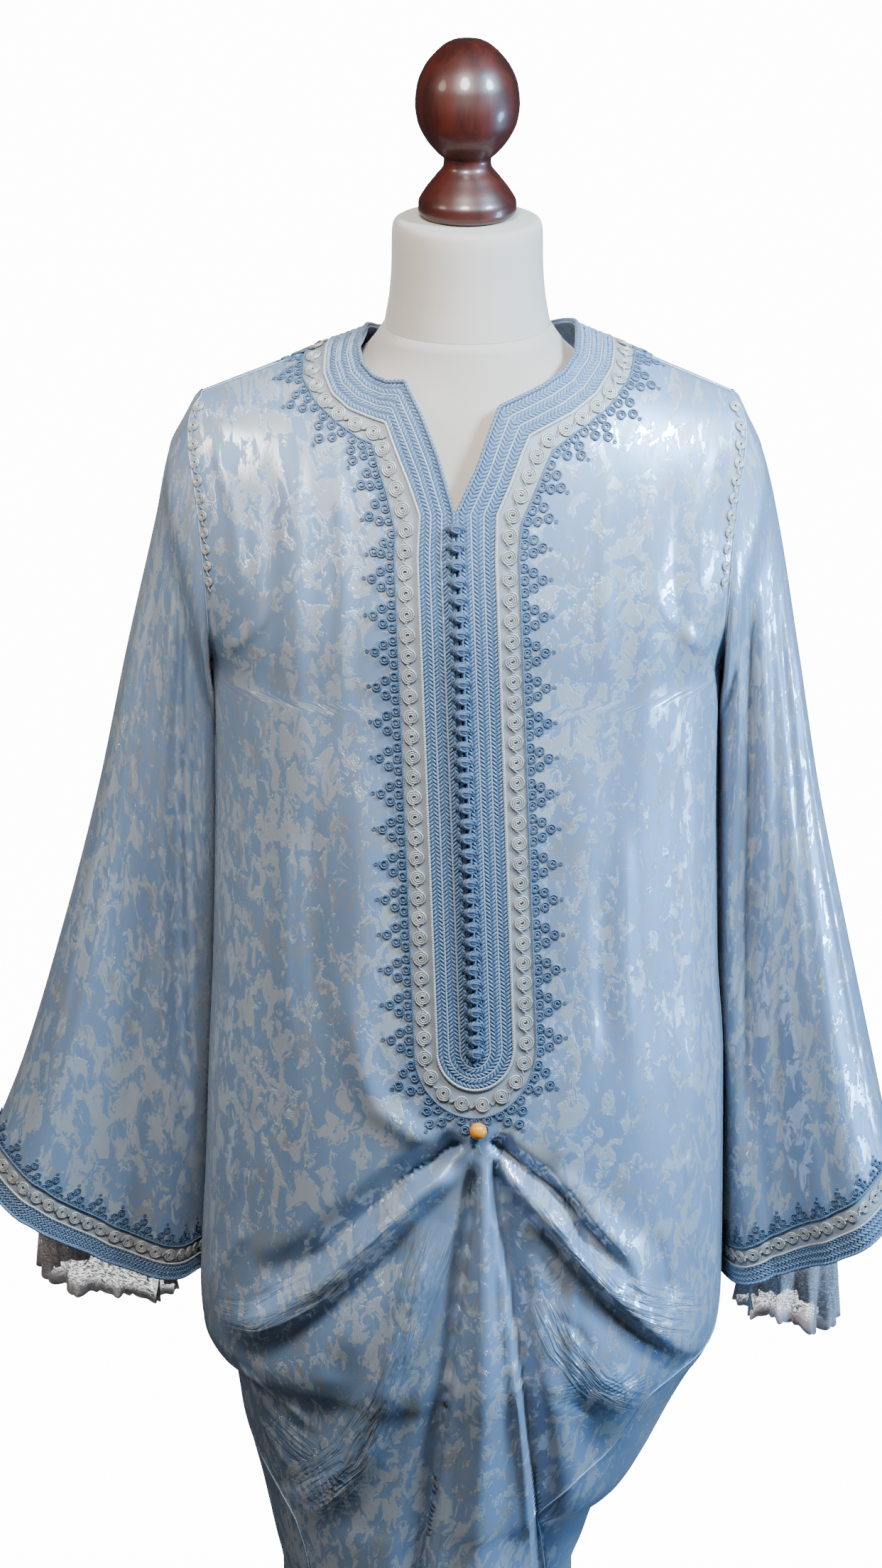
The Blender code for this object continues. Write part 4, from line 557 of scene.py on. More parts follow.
def arm_x(z: np.ndarray) -> np.ndarray:
    """Half-width between the armholes."""
    return column(ARM, ARM_COLUMNS, "x", z)


def hem_z(angle: np.ndarray) -> np.ndarray:
    """Height of the hem round the body."""
    return HEM_BACK_Z + HEM_FRONT_RISE * np.clip(np.cos(angle), 0, 1) ** 2


def side_seam(name: str, z: np.ndarray) -> np.ndarray:
    """Angle of a side seam from the front centre."""
    return np.radians(body(name, z))


# the crinkled band's middle line on the front and its half-width
CRINKLE_PATHS = (
    (((-0.020, 0.826), (-0.036, 0.780), (-0.050, 0.726), (-0.068, 0.668), (-0.094, 0.610), (-0.140, 0.556)),
     0.026, 1.0),
    (((-0.040, 0.850), (-0.080, 0.806), (-0.120, 0.760), (-0.170, 0.722), (-0.206, 0.706)), 0.022, 0.55),
    (((0.044, 0.850), (0.078, 0.806), (0.116, 0.758), (0.160, 0.726), (0.196, 0.706)), 0.022, 0.55),
    (((0.056, 0.760), (0.076, 0.712), (0.104, 0.672), (0.146, 0.640)), 0.020, 0.60),
    (((-0.180, 0.640), (-0.140, 0.612), (-0.100, 0.590)), 0.020, 0.50),
)


def crinkle(x: np.ndarray, z: np.ndarray) -> np.ndarray:
    """Coordinates for fine crinkles that follow the drape's bands.

    Args:
        x: places across the front.
        z: places up the front.

    Returns:
        Place along the nearest band, place across it, and how crinkled the cloth is there.
    """
    found = np.zeros((*x.shape, 3))
    for path, half, strength in CRINKLE_PATHS:
        line = np.array(path)
        starts = np.concatenate([[0], np.cumsum(np.hypot(*np.diff(line, axis=0).T))])
        for k in range(len(line) - 1):
            length = starts[k + 1] - starts[k]
            ux, uz = (line[k + 1] - line[k]) / length
            t = (x - line[k][0]) * ux + (z - line[k][1]) * uz
            off = ux * (z - line[k][1]) - uz * (x - line[k][0])
            over = np.clip(t, 0, length)
            away = np.hypot(off, t - over)
            ends = ease((starts[k] + over) / 0.03) * ease((starts[-1] - starts[k] - over) / 0.04)
            amount = strength * ease(1.4 * (1 - away / half)) * ends
            better = amount > found[..., 2]
            made = np.stack([(starts[k] + t) * 22, off * 210, amount], -1)
            found = np.where(better[..., None], made, found)
    return found


@dataclass
class Grid:
    """A regular grid of surface points with the cloth's own coordinates."""

    points: np.ndarray
    weave: np.ndarray

    def faces(self, closed: bool = False) -> np.ndarray:
        """Quads of the grid.

        Args:
            closed: whether the last column joins the first.

        Returns:
            Point numbers, four a face.
        """
        rows, columns = self.points.shape[:2]
        i, j = np.meshgrid(np.arange(rows - 1), np.arange(columns if closed else columns - 1), indexing="ij")
        ahead = (j + 1) % columns
        return np.stack([i * columns + j, i * columns + ahead, (i + 1) * columns + ahead,
                         (i + 1) * columns + j], -1).reshape(-1, 4)


def store(mesh: bpy.types.Mesh, name: str, values: np.ndarray) -> None:
    """Keeps a vector at each point of a mesh under a name."""
    kept = mesh.attributes.new(name, "FLOAT_VECTOR", "POINT")
    kept.data.foreach_set("vector", np.ascontiguousarray(values, np.float32).reshape(-1))


def mesh_object(name: str, points: np.ndarray, faces: Sequence) -> bpy.types.Object:
    """A mesh object at the origin.

    Args:
        name: its name.
        points: its points.
        faces: its faces.

    Returns:
        The object, linked to the scene.
    """
    mesh = bpy.data.meshes.new(name)
    mesh.from_pydata(np.asarray(points, float).tolist(), [], [list(map(int, face)) for face in faces])
    mesh.update()
    mesh.shade_smooth()
    made = bpy.data.objects.new(name, mesh)
    bpy.context.scene.collection.objects.link(made)
    return made


def frozen(obj: bpy.types.Object, name: str) -> bpy.types.Object:
    """A plain mesh object of what a modified object evaluates to; the first one is removed.

    Args:
        obj: the modified object.
        name: the finished object's name.

    Returns:
        The plain object.
    """
    graph = bpy.context.evaluated_depsgraph_get()
    mesh = bpy.data.meshes.new_from_object(obj.evaluated_get(graph))
    bpy.data.objects.remove(obj, do_unlink=True)
    mesh.name = name
    made = bpy.data.objects.new(name, mesh)
    bpy.context.scene.collection.objects.link(made)
    return made


def finish_piece(obj: bpy.types.Object, material: bpy.types.Material, slot: str,
                 *nodes: str) -> bpy.types.Object:
    """Gives a piece its material and ties it to the frame.

    Args:
        obj: the piece.
        material: its material.
        slot: not used.
        nodes: the solids that it stands for.

    Returns:
        The piece.
    """
    obj.data.materials.clear()
    obj.data.materials.append(material)
    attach(obj, "root")
    if nodes:
        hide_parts(*nodes)
    LOG.info("%s: %d faces", obj.name, len(obj.data.polygons))
    return obj


class Shader:
    """Builds one node material."""

    def __init__(self, name: str) -> None:
        """Makes the material and keeps its node tree and its Principled BSDF."""
        self.material = bpy.data.materials.new(name)
        self.material.use_nodes = True
        self.tree = self.material.node_tree
        self.surface = self.tree.nodes["Principled BSDF"]

    def node(self, kind: str, settings: dict | None = None, **inputs: object) -> bpy.types.Node:
        """A node with its settings and inputs.

        Args:
            kind: the node's type.
            settings: properties of the node.
            inputs: values or output sockets by input name, with _ for a space.

        Returns:
            The node.
        """
        made = self.tree.nodes.new(kind)
        for key, value in (settings or {}).items():
            setattr(made, key, value)
        for key, value in inputs.items():
            self.feed(made, key.replace("_", " "), value)
        return made

    def feed(self, node: bpy.types.Node, key: str | int, value: object) -> None:
        """Sets or links one input."""
        socket = node.inputs[key]
        if isinstance(value, bpy.types.NodeSocket):
            self.tree.links.new(value, socket)
        else:
            socket.default_value = value

    def weave(self, scale: tuple[float, float, float], attribute: str = "weave") -> bpy.types.NodeSocket:
        """The cloth's own coordinates, stretched."""
        read = self.node("ShaderNodeAttribute", {"attribute_name": attribute})
        return self.node("ShaderNodeMapping", Vector=read.outputs["Vector"], Scale=scale).outputs["Vector"]

    def local(self, scale: tuple[float, float, float]) -> bpy.types.NodeSocket:
        """Object coordinates, stretched."""
        read = self.node("ShaderNodeTexCoord")
        return self.node("ShaderNodeMapping", Vector=read.outputs["Object"], Scale=scale).outputs["Vector"]

    def noise(self, place: bpy.types.NodeSocket, scale: float, detail: float = 4, rough: float = 0.5,
              bend: float = 0.0) -> bpy.types.NodeSocket:
        """Noise from 0 to 1."""
        made = self.node("ShaderNodeTexNoise", Vector=place, Scale=scale, Detail=detail, Roughness=rough,
                         Distortion=bend)
        return made.outputs["Fac"] if "Fac" in made.outputs else made.outputs[0]

    def math(self, kind: str, a: object, b: object = 0.0, c: object = 0.0) -> bpy.types.NodeSocket:
        """One sum on numbers."""
        made = self.node("ShaderNodeMath", {"operation": kind})
        for number, value in enumerate((a, b, c)):
            self.feed(made, number, value)
        return made.outputs[0]

    def ramp(self, value: object, low: float, high: float) -> bpy.types.NodeSocket:
        """0 below low, 1 above high, smooth between."""
        made = self.node("ShaderNodeMapRange", {"interpolation_type": "SMOOTHSTEP"}, Value=value)
        made.inputs["From Min"].default_value = low
        made.inputs["From Max"].default_value = high
        return made.outputs["Result"]

    def mix(self, share: object, a: object, b: object) -> bpy.types.NodeSocket:
        """Blend of two colours."""
        made = self.node("ShaderNodeMix", {"data_type": "RGBA"})
        self.feed(made, 0, share)
        for number, value in ((6, a), (7, b)):
            self.feed(made, number, (*value, 1) if isinstance(value, tuple) and len(value) == 3 else value)
        return made.outputs[2]

    def bump(self, height: object, strength: float, distance: float) -> None:
        """Raises the surface by a height, after any bump before it."""
        made = self.node("ShaderNodeBump", Height=height, Strength=strength, Distance=distance)
        old = self.surface.inputs["Normal"]
        if old.is_linked:
            self.tree.links.new(old.links[0].from_socket, made.inputs["Normal"])
        self.tree.links.new(made.outputs["Normal"], old)

    def set(self, **inputs: object) -> None:
        """Inputs of the surface shader."""
        for key, value in inputs.items():
            if isinstance(value, tuple) and len(value) == 3:
                value = (*value, 1)
            self.feed(self.surface, key.replace("_", " "), value)


@dataclass(frozen=True)
class Satin:
    """Pale blue satin jacquard with lichen-like silver and sand patches."""

    name: str = "satin_jacquard"
    ground: tuple[float, float, float] = (0.205, 0.285, 0.425)
    motif: tuple[float, float, float] = (0.720, 0.750, 0.790)
    sand: tuple[float, float, float] = (0.240, 0.228, 0.216)
    deep: tuple[float, float, float] = (0.125, 0.190, 0.310)

    def build(self) -> bpy.types.Material:
        """The material."""
        s = Shader(self.name)
        cloth = s.weave((1.0, 0.62, 1.0))
        patches = s.noise(cloth, 82, 9, 0.71, 0.6)
        clusters = s.noise(cloth, 11, 4, 0.6, 0.3)
        value = s.math("MULTIPLY_ADD", clusters, 0.36, patches)
        motif = s.ramp(value, 0.694, 0.716)
        sandy = s.math("MULTIPLY", s.ramp(s.noise(cloth, 60, 8, 0.72, 0.6), 0.530, 0.560),
                       s.ramp(clusters, 0.53, 0.47))
        shade = s.noise(s.weave((1.0, 0.3, 1.0)), 12, 5, 0.65)
        ground = s.mix(shade, self.ground, self.deep)
        colour = s.mix(s.math("MULTIPLY", motif, 0.64), ground, self.motif)
        colour = s.mix(s.math("MULTIPLY", sandy, 0.50), colour, self.sand)
        rough = s.math("MULTIPLY_ADD", motif, -0.14, 0.38)
        rough = s.math("MULTIPLY_ADD", sandy, 0.06, rough)
        s.set(Base_Color=colour, Roughness=rough, Specular_IOR_Level=0.6, IOR=1.5, Sheen_Weight=0.12,
              Sheen_Roughness=0.40, Metallic=s.math("MULTIPLY_ADD", motif, 0.35, 0.18))
        s.bump(motif, 0.45, 0.0005)
        s.bump(s.noise(s.weave((1.0, 0.35, 1.0)), 46, 4, 0.6), 0.30, 0.0016)
        stored = s.node("ShaderNodeAttribute", {"attribute_name": "crinkle"})
        crinkle = s.node("ShaderNodeSeparateXYZ", Vector=stored.outputs["Vector"])
        across = s.node("ShaderNodeCombineXYZ", X=crinkle.outputs["X"], Y=crinkle.outputs["Y"])
        ripple = s.noise(across.outputs[0], 1.0, 3, 0.55, 0.4)
        s.bump(s.math("MULTIPLY", ripple, crinkle.outputs["Z"]), 1.0, 0.0060)
        return s.material


@dataclass(frozen=True)
class Thread:
    """Twisted thread or cord; with a top colour, its light strands are painted in that colour at the top of
    the robe, as painted light: greyer where the light falls there.
    """

    name: str
    light: tuple[float, float, float]
    dark: tuple[float, float, float]
    metallic: float = 0.0
    roughness: float = 0.55
    twist: float = 520.0
    # painted light: the colour of the light strands at the top of the robe, where the light falls
    top: tuple[float, float, float] | None = None

    def build(self) -> bpy.types.Material:
        """The material."""
        s = Shader(self.name)
        along = s.node("ShaderNodeAttribute", {"attribute_name": "along"}).outputs["Fac"]
        around = s.node("ShaderNodeAttribute", {"attribute_name": "around"}).outputs["Fac"]
        turn = s.math("MULTIPLY_ADD", along, self.twist, around)
        ply = s.math("PINGPONG", turn, 0.5)
        ply = s.ramp(ply, 0.06, 0.32)
        shade = s.node("ShaderNodeAttribute", {"attribute_name": "shade"}).outputs["Fac"]
        fuzz = s.noise(s.local((1.0, 1.0, 1.0)), 700, 2, 0.6)
        share = s.math("MULTIPLY_ADD", fuzz, 0.7, s.math("MULTIPLY", shade, 0.3))
        share = s.math("MULTIPLY", share, s.math("MULTIPLY_ADD", ply, 0.65, 0.35))
        light = self.light
        # painted light: between 1.425 and 1.48 m high the light strands blend into the top colour, for the
        # light that falls on the top of the robe
        if self.top is not None:
            height = s.node("ShaderNodeSeparateXYZ", Vector=s.local((1.0, 1.0, 1.0))).outputs["Z"]
            light = s.mix(s.ramp(height, 1.425, 1.480), self.light, self.top)
        s.set(Base_Color=s.mix(share, self.dark, light), Roughness=self.roughness, Metallic=self.metallic,
              Specular_IOR_Level=0.5, Sheen_Weight=0.15)
        s.bump(ply, 0.6, 0.0005)
        s.bump(fuzz, 0.3, 0.0002)
        return s.material


@dataclass(frozen=True)
class Lace:
    """Greyish-pink floral lace: closed flowers on a see-through net, denser at its scalloped edge."""

    name: str = "lace"

    def build(self) -> bpy.types.Material:
        """The material."""
        s = Shader(self.name)
        place = s.weave((1.0, 1.0, 1.0))
        petals = s.node("ShaderNodeTexVoronoi", {"feature": "SMOOTH_F1"}, Vector=place, Scale=85.0,
                        Smoothness=0.25)
        flower = s.ramp(petals.outputs["Distance"], 0.50, 0.38)
        net = s.node("ShaderNodeTexVoronoi", {"feature": "DISTANCE_TO_EDGE"}, Vector=place, Scale=560.0)
        mesh = s.ramp(net.outputs["Distance"], 0.16, 0.09)
        read = s.node("ShaderNodeAttribute", {"attribute_name": "weave"})
        rim = s.node("ShaderNodeSeparateXYZ", Vector=read.outputs["Vector"]).outputs["Z"]
        edge = s.ramp(rim, 0.80, 0.96)
        closed = s.math("MAXIMUM", s.math("MAXIMUM", flower, mesh), edge)
        colour = s.mix(flower, (0.55, 0.47, 0.45), (0.80, 0.74, 0.73))
        s.set(Base_Color=s.mix(s.math("MULTIPLY", edge, 0.75), colour, (0.42, 0.36, 0.38)), Roughness=0.75,
              Sheen_Weight=0.2, Alpha=s.math("MULTIPLY_ADD", closed, 0.60, 0.35))
        s.bump(flower, 0.5, 0.0005)
        return s.material


@dataclass(frozen=True)
class Jersey:
    """Cream knitted cover of the form."""

    name: str = "jersey"

    def build(self) -> bpy.types.Material:
        """The material."""
        s = Shader(self.name)
        place = s.local((1.0, 1.0, 0.5))
        knit = s.noise(place, 1100, 2, 0.5)
        cloud = s.noise(place, 14, 4, 0.6)
        s.set(Base_Color=s.mix(cloud, (0.34, 0.290, 0.25), (0.38, 0.325, 0.28)), Roughness=0.85,
              Sheen_Weight=0.3)
        s.bump(knit, 0.25, 0.0003)
        s.bump(cloud, 0.10, 0.002)
        return s.material


@dataclass(frozen=True)
class Wood:
    """Dark red varnished wood."""

    name: str = "mahogany"

    def build(self) -> bpy.types.Material:
        """The material."""
        s = Shader(self.name)
        grain = s.noise(s.local((14.0, 14.0, 1.4)), 5, 6, 0.65, 0.6)
        fine = s.noise(s.local((60.0, 60.0, 3.0)), 6, 3, 0.5)
        share = s.math("MULTIPLY_ADD", fine, 0.35, s.ramp(grain, 0.35, 0.68))
        s.set(Base_Color=s.mix(share, (0.014, 0.0016, 0.0008), (0.042, 0.0050, 0.002)), Roughness=0.42,
              Coat_Weight=0.30, Coat_Roughness=0.10)
        s.bump(fine, 0.05, 0.0005)
        return s.material


@dataclass(frozen=True)
class Plain:
    """A plain finish with a little cloudiness."""

    name: str
    colour: tuple[float, float, float]
    roughness: float = 0.5
    metallic: float = 0.0

    def build(self) -> bpy.types.Material:
        """The material."""
        s = Shader(self.name)
        cloud = s.noise(s.local((1.0, 1.0, 1.0)), 60, 4, 0.6)
        darker = tuple(part * 0.78 for part in self.colour)
        s.set(Base_Color=s.mix(cloud, darker, self.colour), Roughness=self.roughness, Metallic=self.metallic)
        return s.material


class RepeatTree:
    """Geometry Nodes that set a template on points and along lines."""

    def __init__(self) -> None:
        """Builds both node trees once."""
        self.repeat = self._repeat()
        self.cord = self._cord()

    @staticmethod
    def _group(name: str, inputs: Sequence[tuple[str, str]]) -> bpy.types.NodeTree:
        """A geometry node tree with its inputs and its output.

        Args:
            name: the tree's name.
            inputs: the label and the socket kind of each input after the geometry.

        Returns:
            The tree.
        """
        tree = bpy.data.node_groups.new(name, "GeometryNodeTree")
        for label, kind in (("Geometry", "NodeSocketGeometry"), *inputs):
            tree.interface.new_socket(name=label, in_out="INPUT", socket_type=kind)
        tree.interface.new_socket(name="Geometry", in_out="OUTPUT", socket_type="NodeSocketGeometry")
        return tree

    def _repeat(self) -> bpy.types.NodeTree:
        """Repeats a template on points, each turned, scaled and given its own shade.

        Returns:
            The tree.
        """
        tree = self._group("repeat_on_points", (("Template", "NodeSocketObject"), ("Seed", "NodeSocketInt"),
                                                ("Material", "NodeSocketMaterial")))
        new, link = tree.nodes.new, tree.links.new
        start, end = new("NodeGroupInput"), new("NodeGroupOutput")
        info = new("GeometryNodeObjectInfo")
        link(start.outputs["Template"], info.inputs["Object"])
        read = {}
        for name in ("turn", "grow"):
            read[name] = new("GeometryNodeInputNamedAttribute")
            read[name].data_type = "FLOAT_VECTOR"
            read[name].inputs["Name"].default_value = name
        euler = new("FunctionNodeEulerToRotation")
        link(read["turn"].outputs["Attribute"], euler.inputs[0])
        spread = new("GeometryNodeInstanceOnPoints")
        link(start.outputs["Geometry"], spread.inputs["Points"])
        link(info.outputs["Geometry"], spread.inputs["Instance"])
        link(euler.outputs[0], spread.inputs["Rotation"])
        link(read["grow"].outputs["Attribute"], spread.inputs["Scale"])
        chance = new("FunctionNodeRandomValue")
        chance.data_type = "FLOAT"
        link(start.outputs["Seed"], chance.inputs["Seed"])
        keep = new("GeometryNodeStoreNamedAttribute")
        keep.data_type, keep.domain = "FLOAT", "INSTANCE"
        keep.inputs["Name"].default_value = "shade"
        link(spread.outputs[0], keep.inputs["Geometry"])
        link(chance.outputs[1], keep.inputs["Value"])
        real, paint = new("GeometryNodeRealizeInstances"), new("GeometryNodeSetMaterial")
        link(keep.outputs["Geometry"], real.inputs[0])
        link(real.outputs[0], paint.inputs["Geometry"])
        link(start.outputs["Material"], paint.inputs["Material"])
        link(paint.outputs[0], end.inputs[0])
        return tree

    def _cord(self) -> bpy.types.NodeTree:
        """Sweeps a ring along lines and keeps the places along and around each.

        Returns:
            The tree.
        """
        tree = self._group("cord_on_lines", (("Radius", "NodeSocketFloat"), ("Sides", "NodeSocketInt"),
                                             ("Material", "NodeSocketMaterial")))
        new, link = tree.nodes.new, tree.links.new
        start, end = new("NodeGroupInput"), new("NodeGroupOutput")
        curve = new("GeometryNodeMeshToCurve")
        link(start.outputs["Geometry"], curve.inputs[0])
        ring = new("GeometryNodeCurvePrimitiveCircle")
        link(start.outputs["Sides"], ring.inputs["Resolution"])
        link(start.outputs["Radius"], ring.inputs["Radius"])
        kept = []
        for name, source, output in (("along", curve, "Length"), ("around", ring, "Factor")):
            where, keep = new("GeometryNodeSplineParameter"), new("GeometryNodeStoreNamedAttribute")
            keep.data_type, keep.domain = "FLOAT", "POINT"
            keep.inputs["Name"].default_value = name
            link(source.outputs[0], keep.inputs["Geometry"])
            link(where.outputs[output], keep.inputs["Value"])
            kept.append(keep)
        sweep = new("GeometryNodeCurveToMesh")
        link(kept[0].outputs[0], sweep.inputs["Curve"])
        link(kept[1].outputs[0], sweep.inputs["Profile Curve"])
        soft, real = new("GeometryNodeSetShadeSmooth"), new("GeometryNodeRealizeInstances")
        paint = new("GeometryNodeSetMaterial")
        link(sweep.outputs[0], soft.inputs[0])
        link(soft.outputs[0], real.inputs[0])
        link(real.outputs[0], paint.inputs["Geometry"])
        link(start.outputs["Material"], paint.inputs["Material"])
        link(paint.outputs[0], end.inputs[0])
        return tree

    @staticmethod
    def _apply(obj: bpy.types.Object, tree: bpy.types.NodeTree, name: str,
               **values: object) -> bpy.types.Object:
        """Runs a node tree on an object and freezes what it makes.

        Args:
            obj: the object with the points or lines.
            tree: the node tree.
            name: the name of the finished object.
            values: the tree's inputs by label.

        Returns:
            The finished object.
        """
        modifier = obj.modifiers.new("nodes", "NODES")
        modifier.node_group = tree
        for item in tree.interface.items_tree:
            if item.in_out == "INPUT" and item.name in values:
                modifier[item.identifier] = values[item.name]
        return frozen(obj, name)

    def on_points(self, name: str, places: "Places", template: bpy.types.Object, material: bpy.types.Material,
                  seed: int) -> bpy.types.Object:
        """A piece made of a template repeated at places.

        Args:
            name: the piece's name.
            places: where each copy goes.
            template: the object repeated, which is removed.
            material: its material.
            seed: the seed of its small differences in shade.

        Returns:
            The piece.
        """
        carrier = mesh_object(name + "_places", places.points, [])
        store(carrier.data, "turn", places.turns())
        store(carrier.data, "grow", places.grow)
        made = self._apply(carrier, self.repeat, name, Template=template, Seed=seed, Material=material)
        bpy.data.objects.remove(template, do_unlink=True)
        return made

    def on_lines(self, name: str, lines: Sequence[tuple[np.ndarray, bool]], radius: float, sides: int,
                 material: bpy.types.Material) -> bpy.types.Object:
        """A piece made of cords along lines.

        Args:
            name: the piece's name.
            lines: each line's points and whether it is closed.
            radius: the cord's radius.
            sides: the sides of its section.
            material: its material.

        Returns:
            The piece.
        """
        points, edges, start = [], [], 0
        for line, closed in lines:
            count = len(line)
            points.append(line)
            numbers = np.arange(start, start + count)
            edges += list(zip(numbers[:-1].tolist(), numbers[1:].tolist()))
            if closed:
                edges.append((int(numbers[-1]), int(numbers[0])))
            start += count
        mesh = bpy.data.meshes.new(name + "_lines")
        mesh.from_pydata(np.concatenate(points).tolist(), edges, [])
        carrier = bpy.data.objects.new(name + "_lines", mesh)
        bpy.context.scene.collection.objects.link(carrier)
        return self._apply(carrier, self.cord, name, Radius=radius, Sides=sides, Material=material)


@dataclass
class Places:
    """Points with a frame each: x along, z out of the cloth, and a scale."""

    points: np.ndarray
    along: np.ndarray
    out: np.ndarray
    grow: np.ndarray

    def turns(self) -> np.ndarray:
        """Euler angles that turn a template's x to along and z to out."""
        z = self.out / np.linalg.norm(self.out, axis=1, keepdims=True)
        x = self.along - z * (self.along * z).sum(1, keepdims=True)
        x /= np.linalg.norm(x, axis=1, keepdims=True)
        y = np.cross(z, x)
        return np.stack([np.arctan2(y[:, 2], z[:, 2]), -np.arcsin(np.clip(x[:, 2], -1, 1)),
                         np.arctan2(x[:, 1], x[:, 0])], 1)


class Panel:
    """The outer side of some finished cloth, for seating trims on it."""

    def __init__(self, *sheets: tuple[np.ndarray, np.ndarray]) -> None:
        """Joins the sheets into one tree in which the nearest place is found."""
        points, faces, start = [], [], 0
        for sheet_points, sheet_faces in sheets:
            points.append(sheet_points)
            faces.append(sheet_faces + start)
            start += len(sheet_points)
        self.tree = BVHTree.FromPolygons(np.concatenate(points).tolist(), np.concatenate(faces).tolist())

    def seat(self, points: np.ndarray) -> tuple[np.ndarray, np.ndarray]:
        """Nearest places of the cloth and the directions away from it."""
        found = [self.tree.find_nearest(Vector(point)) for point in np.asarray(points, float)]
        return np.array([tuple(hit[0]) for hit in found]), np.array([tuple(hit[1]) for hit in found])

    def march(self, points: np.ndarray, headings: np.ndarray,
              distances: np.ndarray) -> tuple[np.ndarray, np.ndarray]:
        """Places reached by going over the cloth.

        Args:
            points: the starts.
            headings: a direction for each.
            distances: how far each goes.

        Returns:
            The places and the directions away from the cloth.
        """
        steps = 6
        place, normal = self.seat(points)
        for _ in range(steps):
            headings = headings - normal * (headings * normal).sum(1, keepdims=True)
            headings = headings / np.linalg.norm(headings, axis=1, keepdims=True)
            place, normal = self.seat(place + headings * (distances / steps)[:, None])
        return place, normal


def outward(points: np.ndarray, faces: np.ndarray, centre: np.ndarray) -> np.ndarray:
    """The faces, turned if most of them look towards the centre."""
    a, b, d = (points[faces[:, k]] for k in (0, 1, 3))
    normals = np.cross(b - a, d - a)
    return faces if ((a - centre) * normals).sum() > 0 else faces[:, ::-1]


def welded(parts: Sequence[tuple[np.ndarray, np.ndarray, np.ndarray]]
           ) -> tuple[np.ndarray, np.ndarray, np.ndarray]:
    """Joins sheets where their points are the same.

    Args:
        parts: points, weave coordinates and faces of each.

    Returns:
        The joined points, weave coordinates and faces.
    """
    points = np.concatenate([part[0] for part in parts])
    weave = np.concatenate([part[1] for part in parts])
    starts = np.cumsum([0] + [len(part[0]) for part in parts])
    faces = np.concatenate([part[2] + start for part, start in zip(parts, starts)])
    _, first, index = np.unique(np.round(points, 6), axis=0, return_index=True, return_inverse=True)
    return points[first], weave[first], index.reshape(-1)[faces]


@dataclass
class Cloth:
    """One finished sheet of cloth."""

    name: str
    points: np.ndarray
    weave: np.ndarray
    faces: np.ndarray
    thickness: float = 0.0011

    def area(self) -> float:
        """Area of one side, in square metres."""
        a, b, c, d = (self.points[self.faces[:, k]] for k in range(4))
        return float(np.linalg.norm(np.cross(c - a, d - b), axis=1).sum() / 2)

    def build(self) -> bpy.types.Object:
        """The sheet with its thickness, going inwards."""
        made = mesh_object(self.name + "_sheet", self.points, self.faces)
        store(made.data, "weave", self.weave)
        shift = 0.0 if self.name == "robe_front" else FAR_FROM_DRAPE
        store(made.data, "crinkle", crinkle(self.points[:, 0] + shift, self.points[:, 2]))
        thick = made.modifiers.new("thickness", "SOLIDIFY")
        thick.thickness, thick.offset = self.thickness, -1.0
        return frozen(made, self.name)


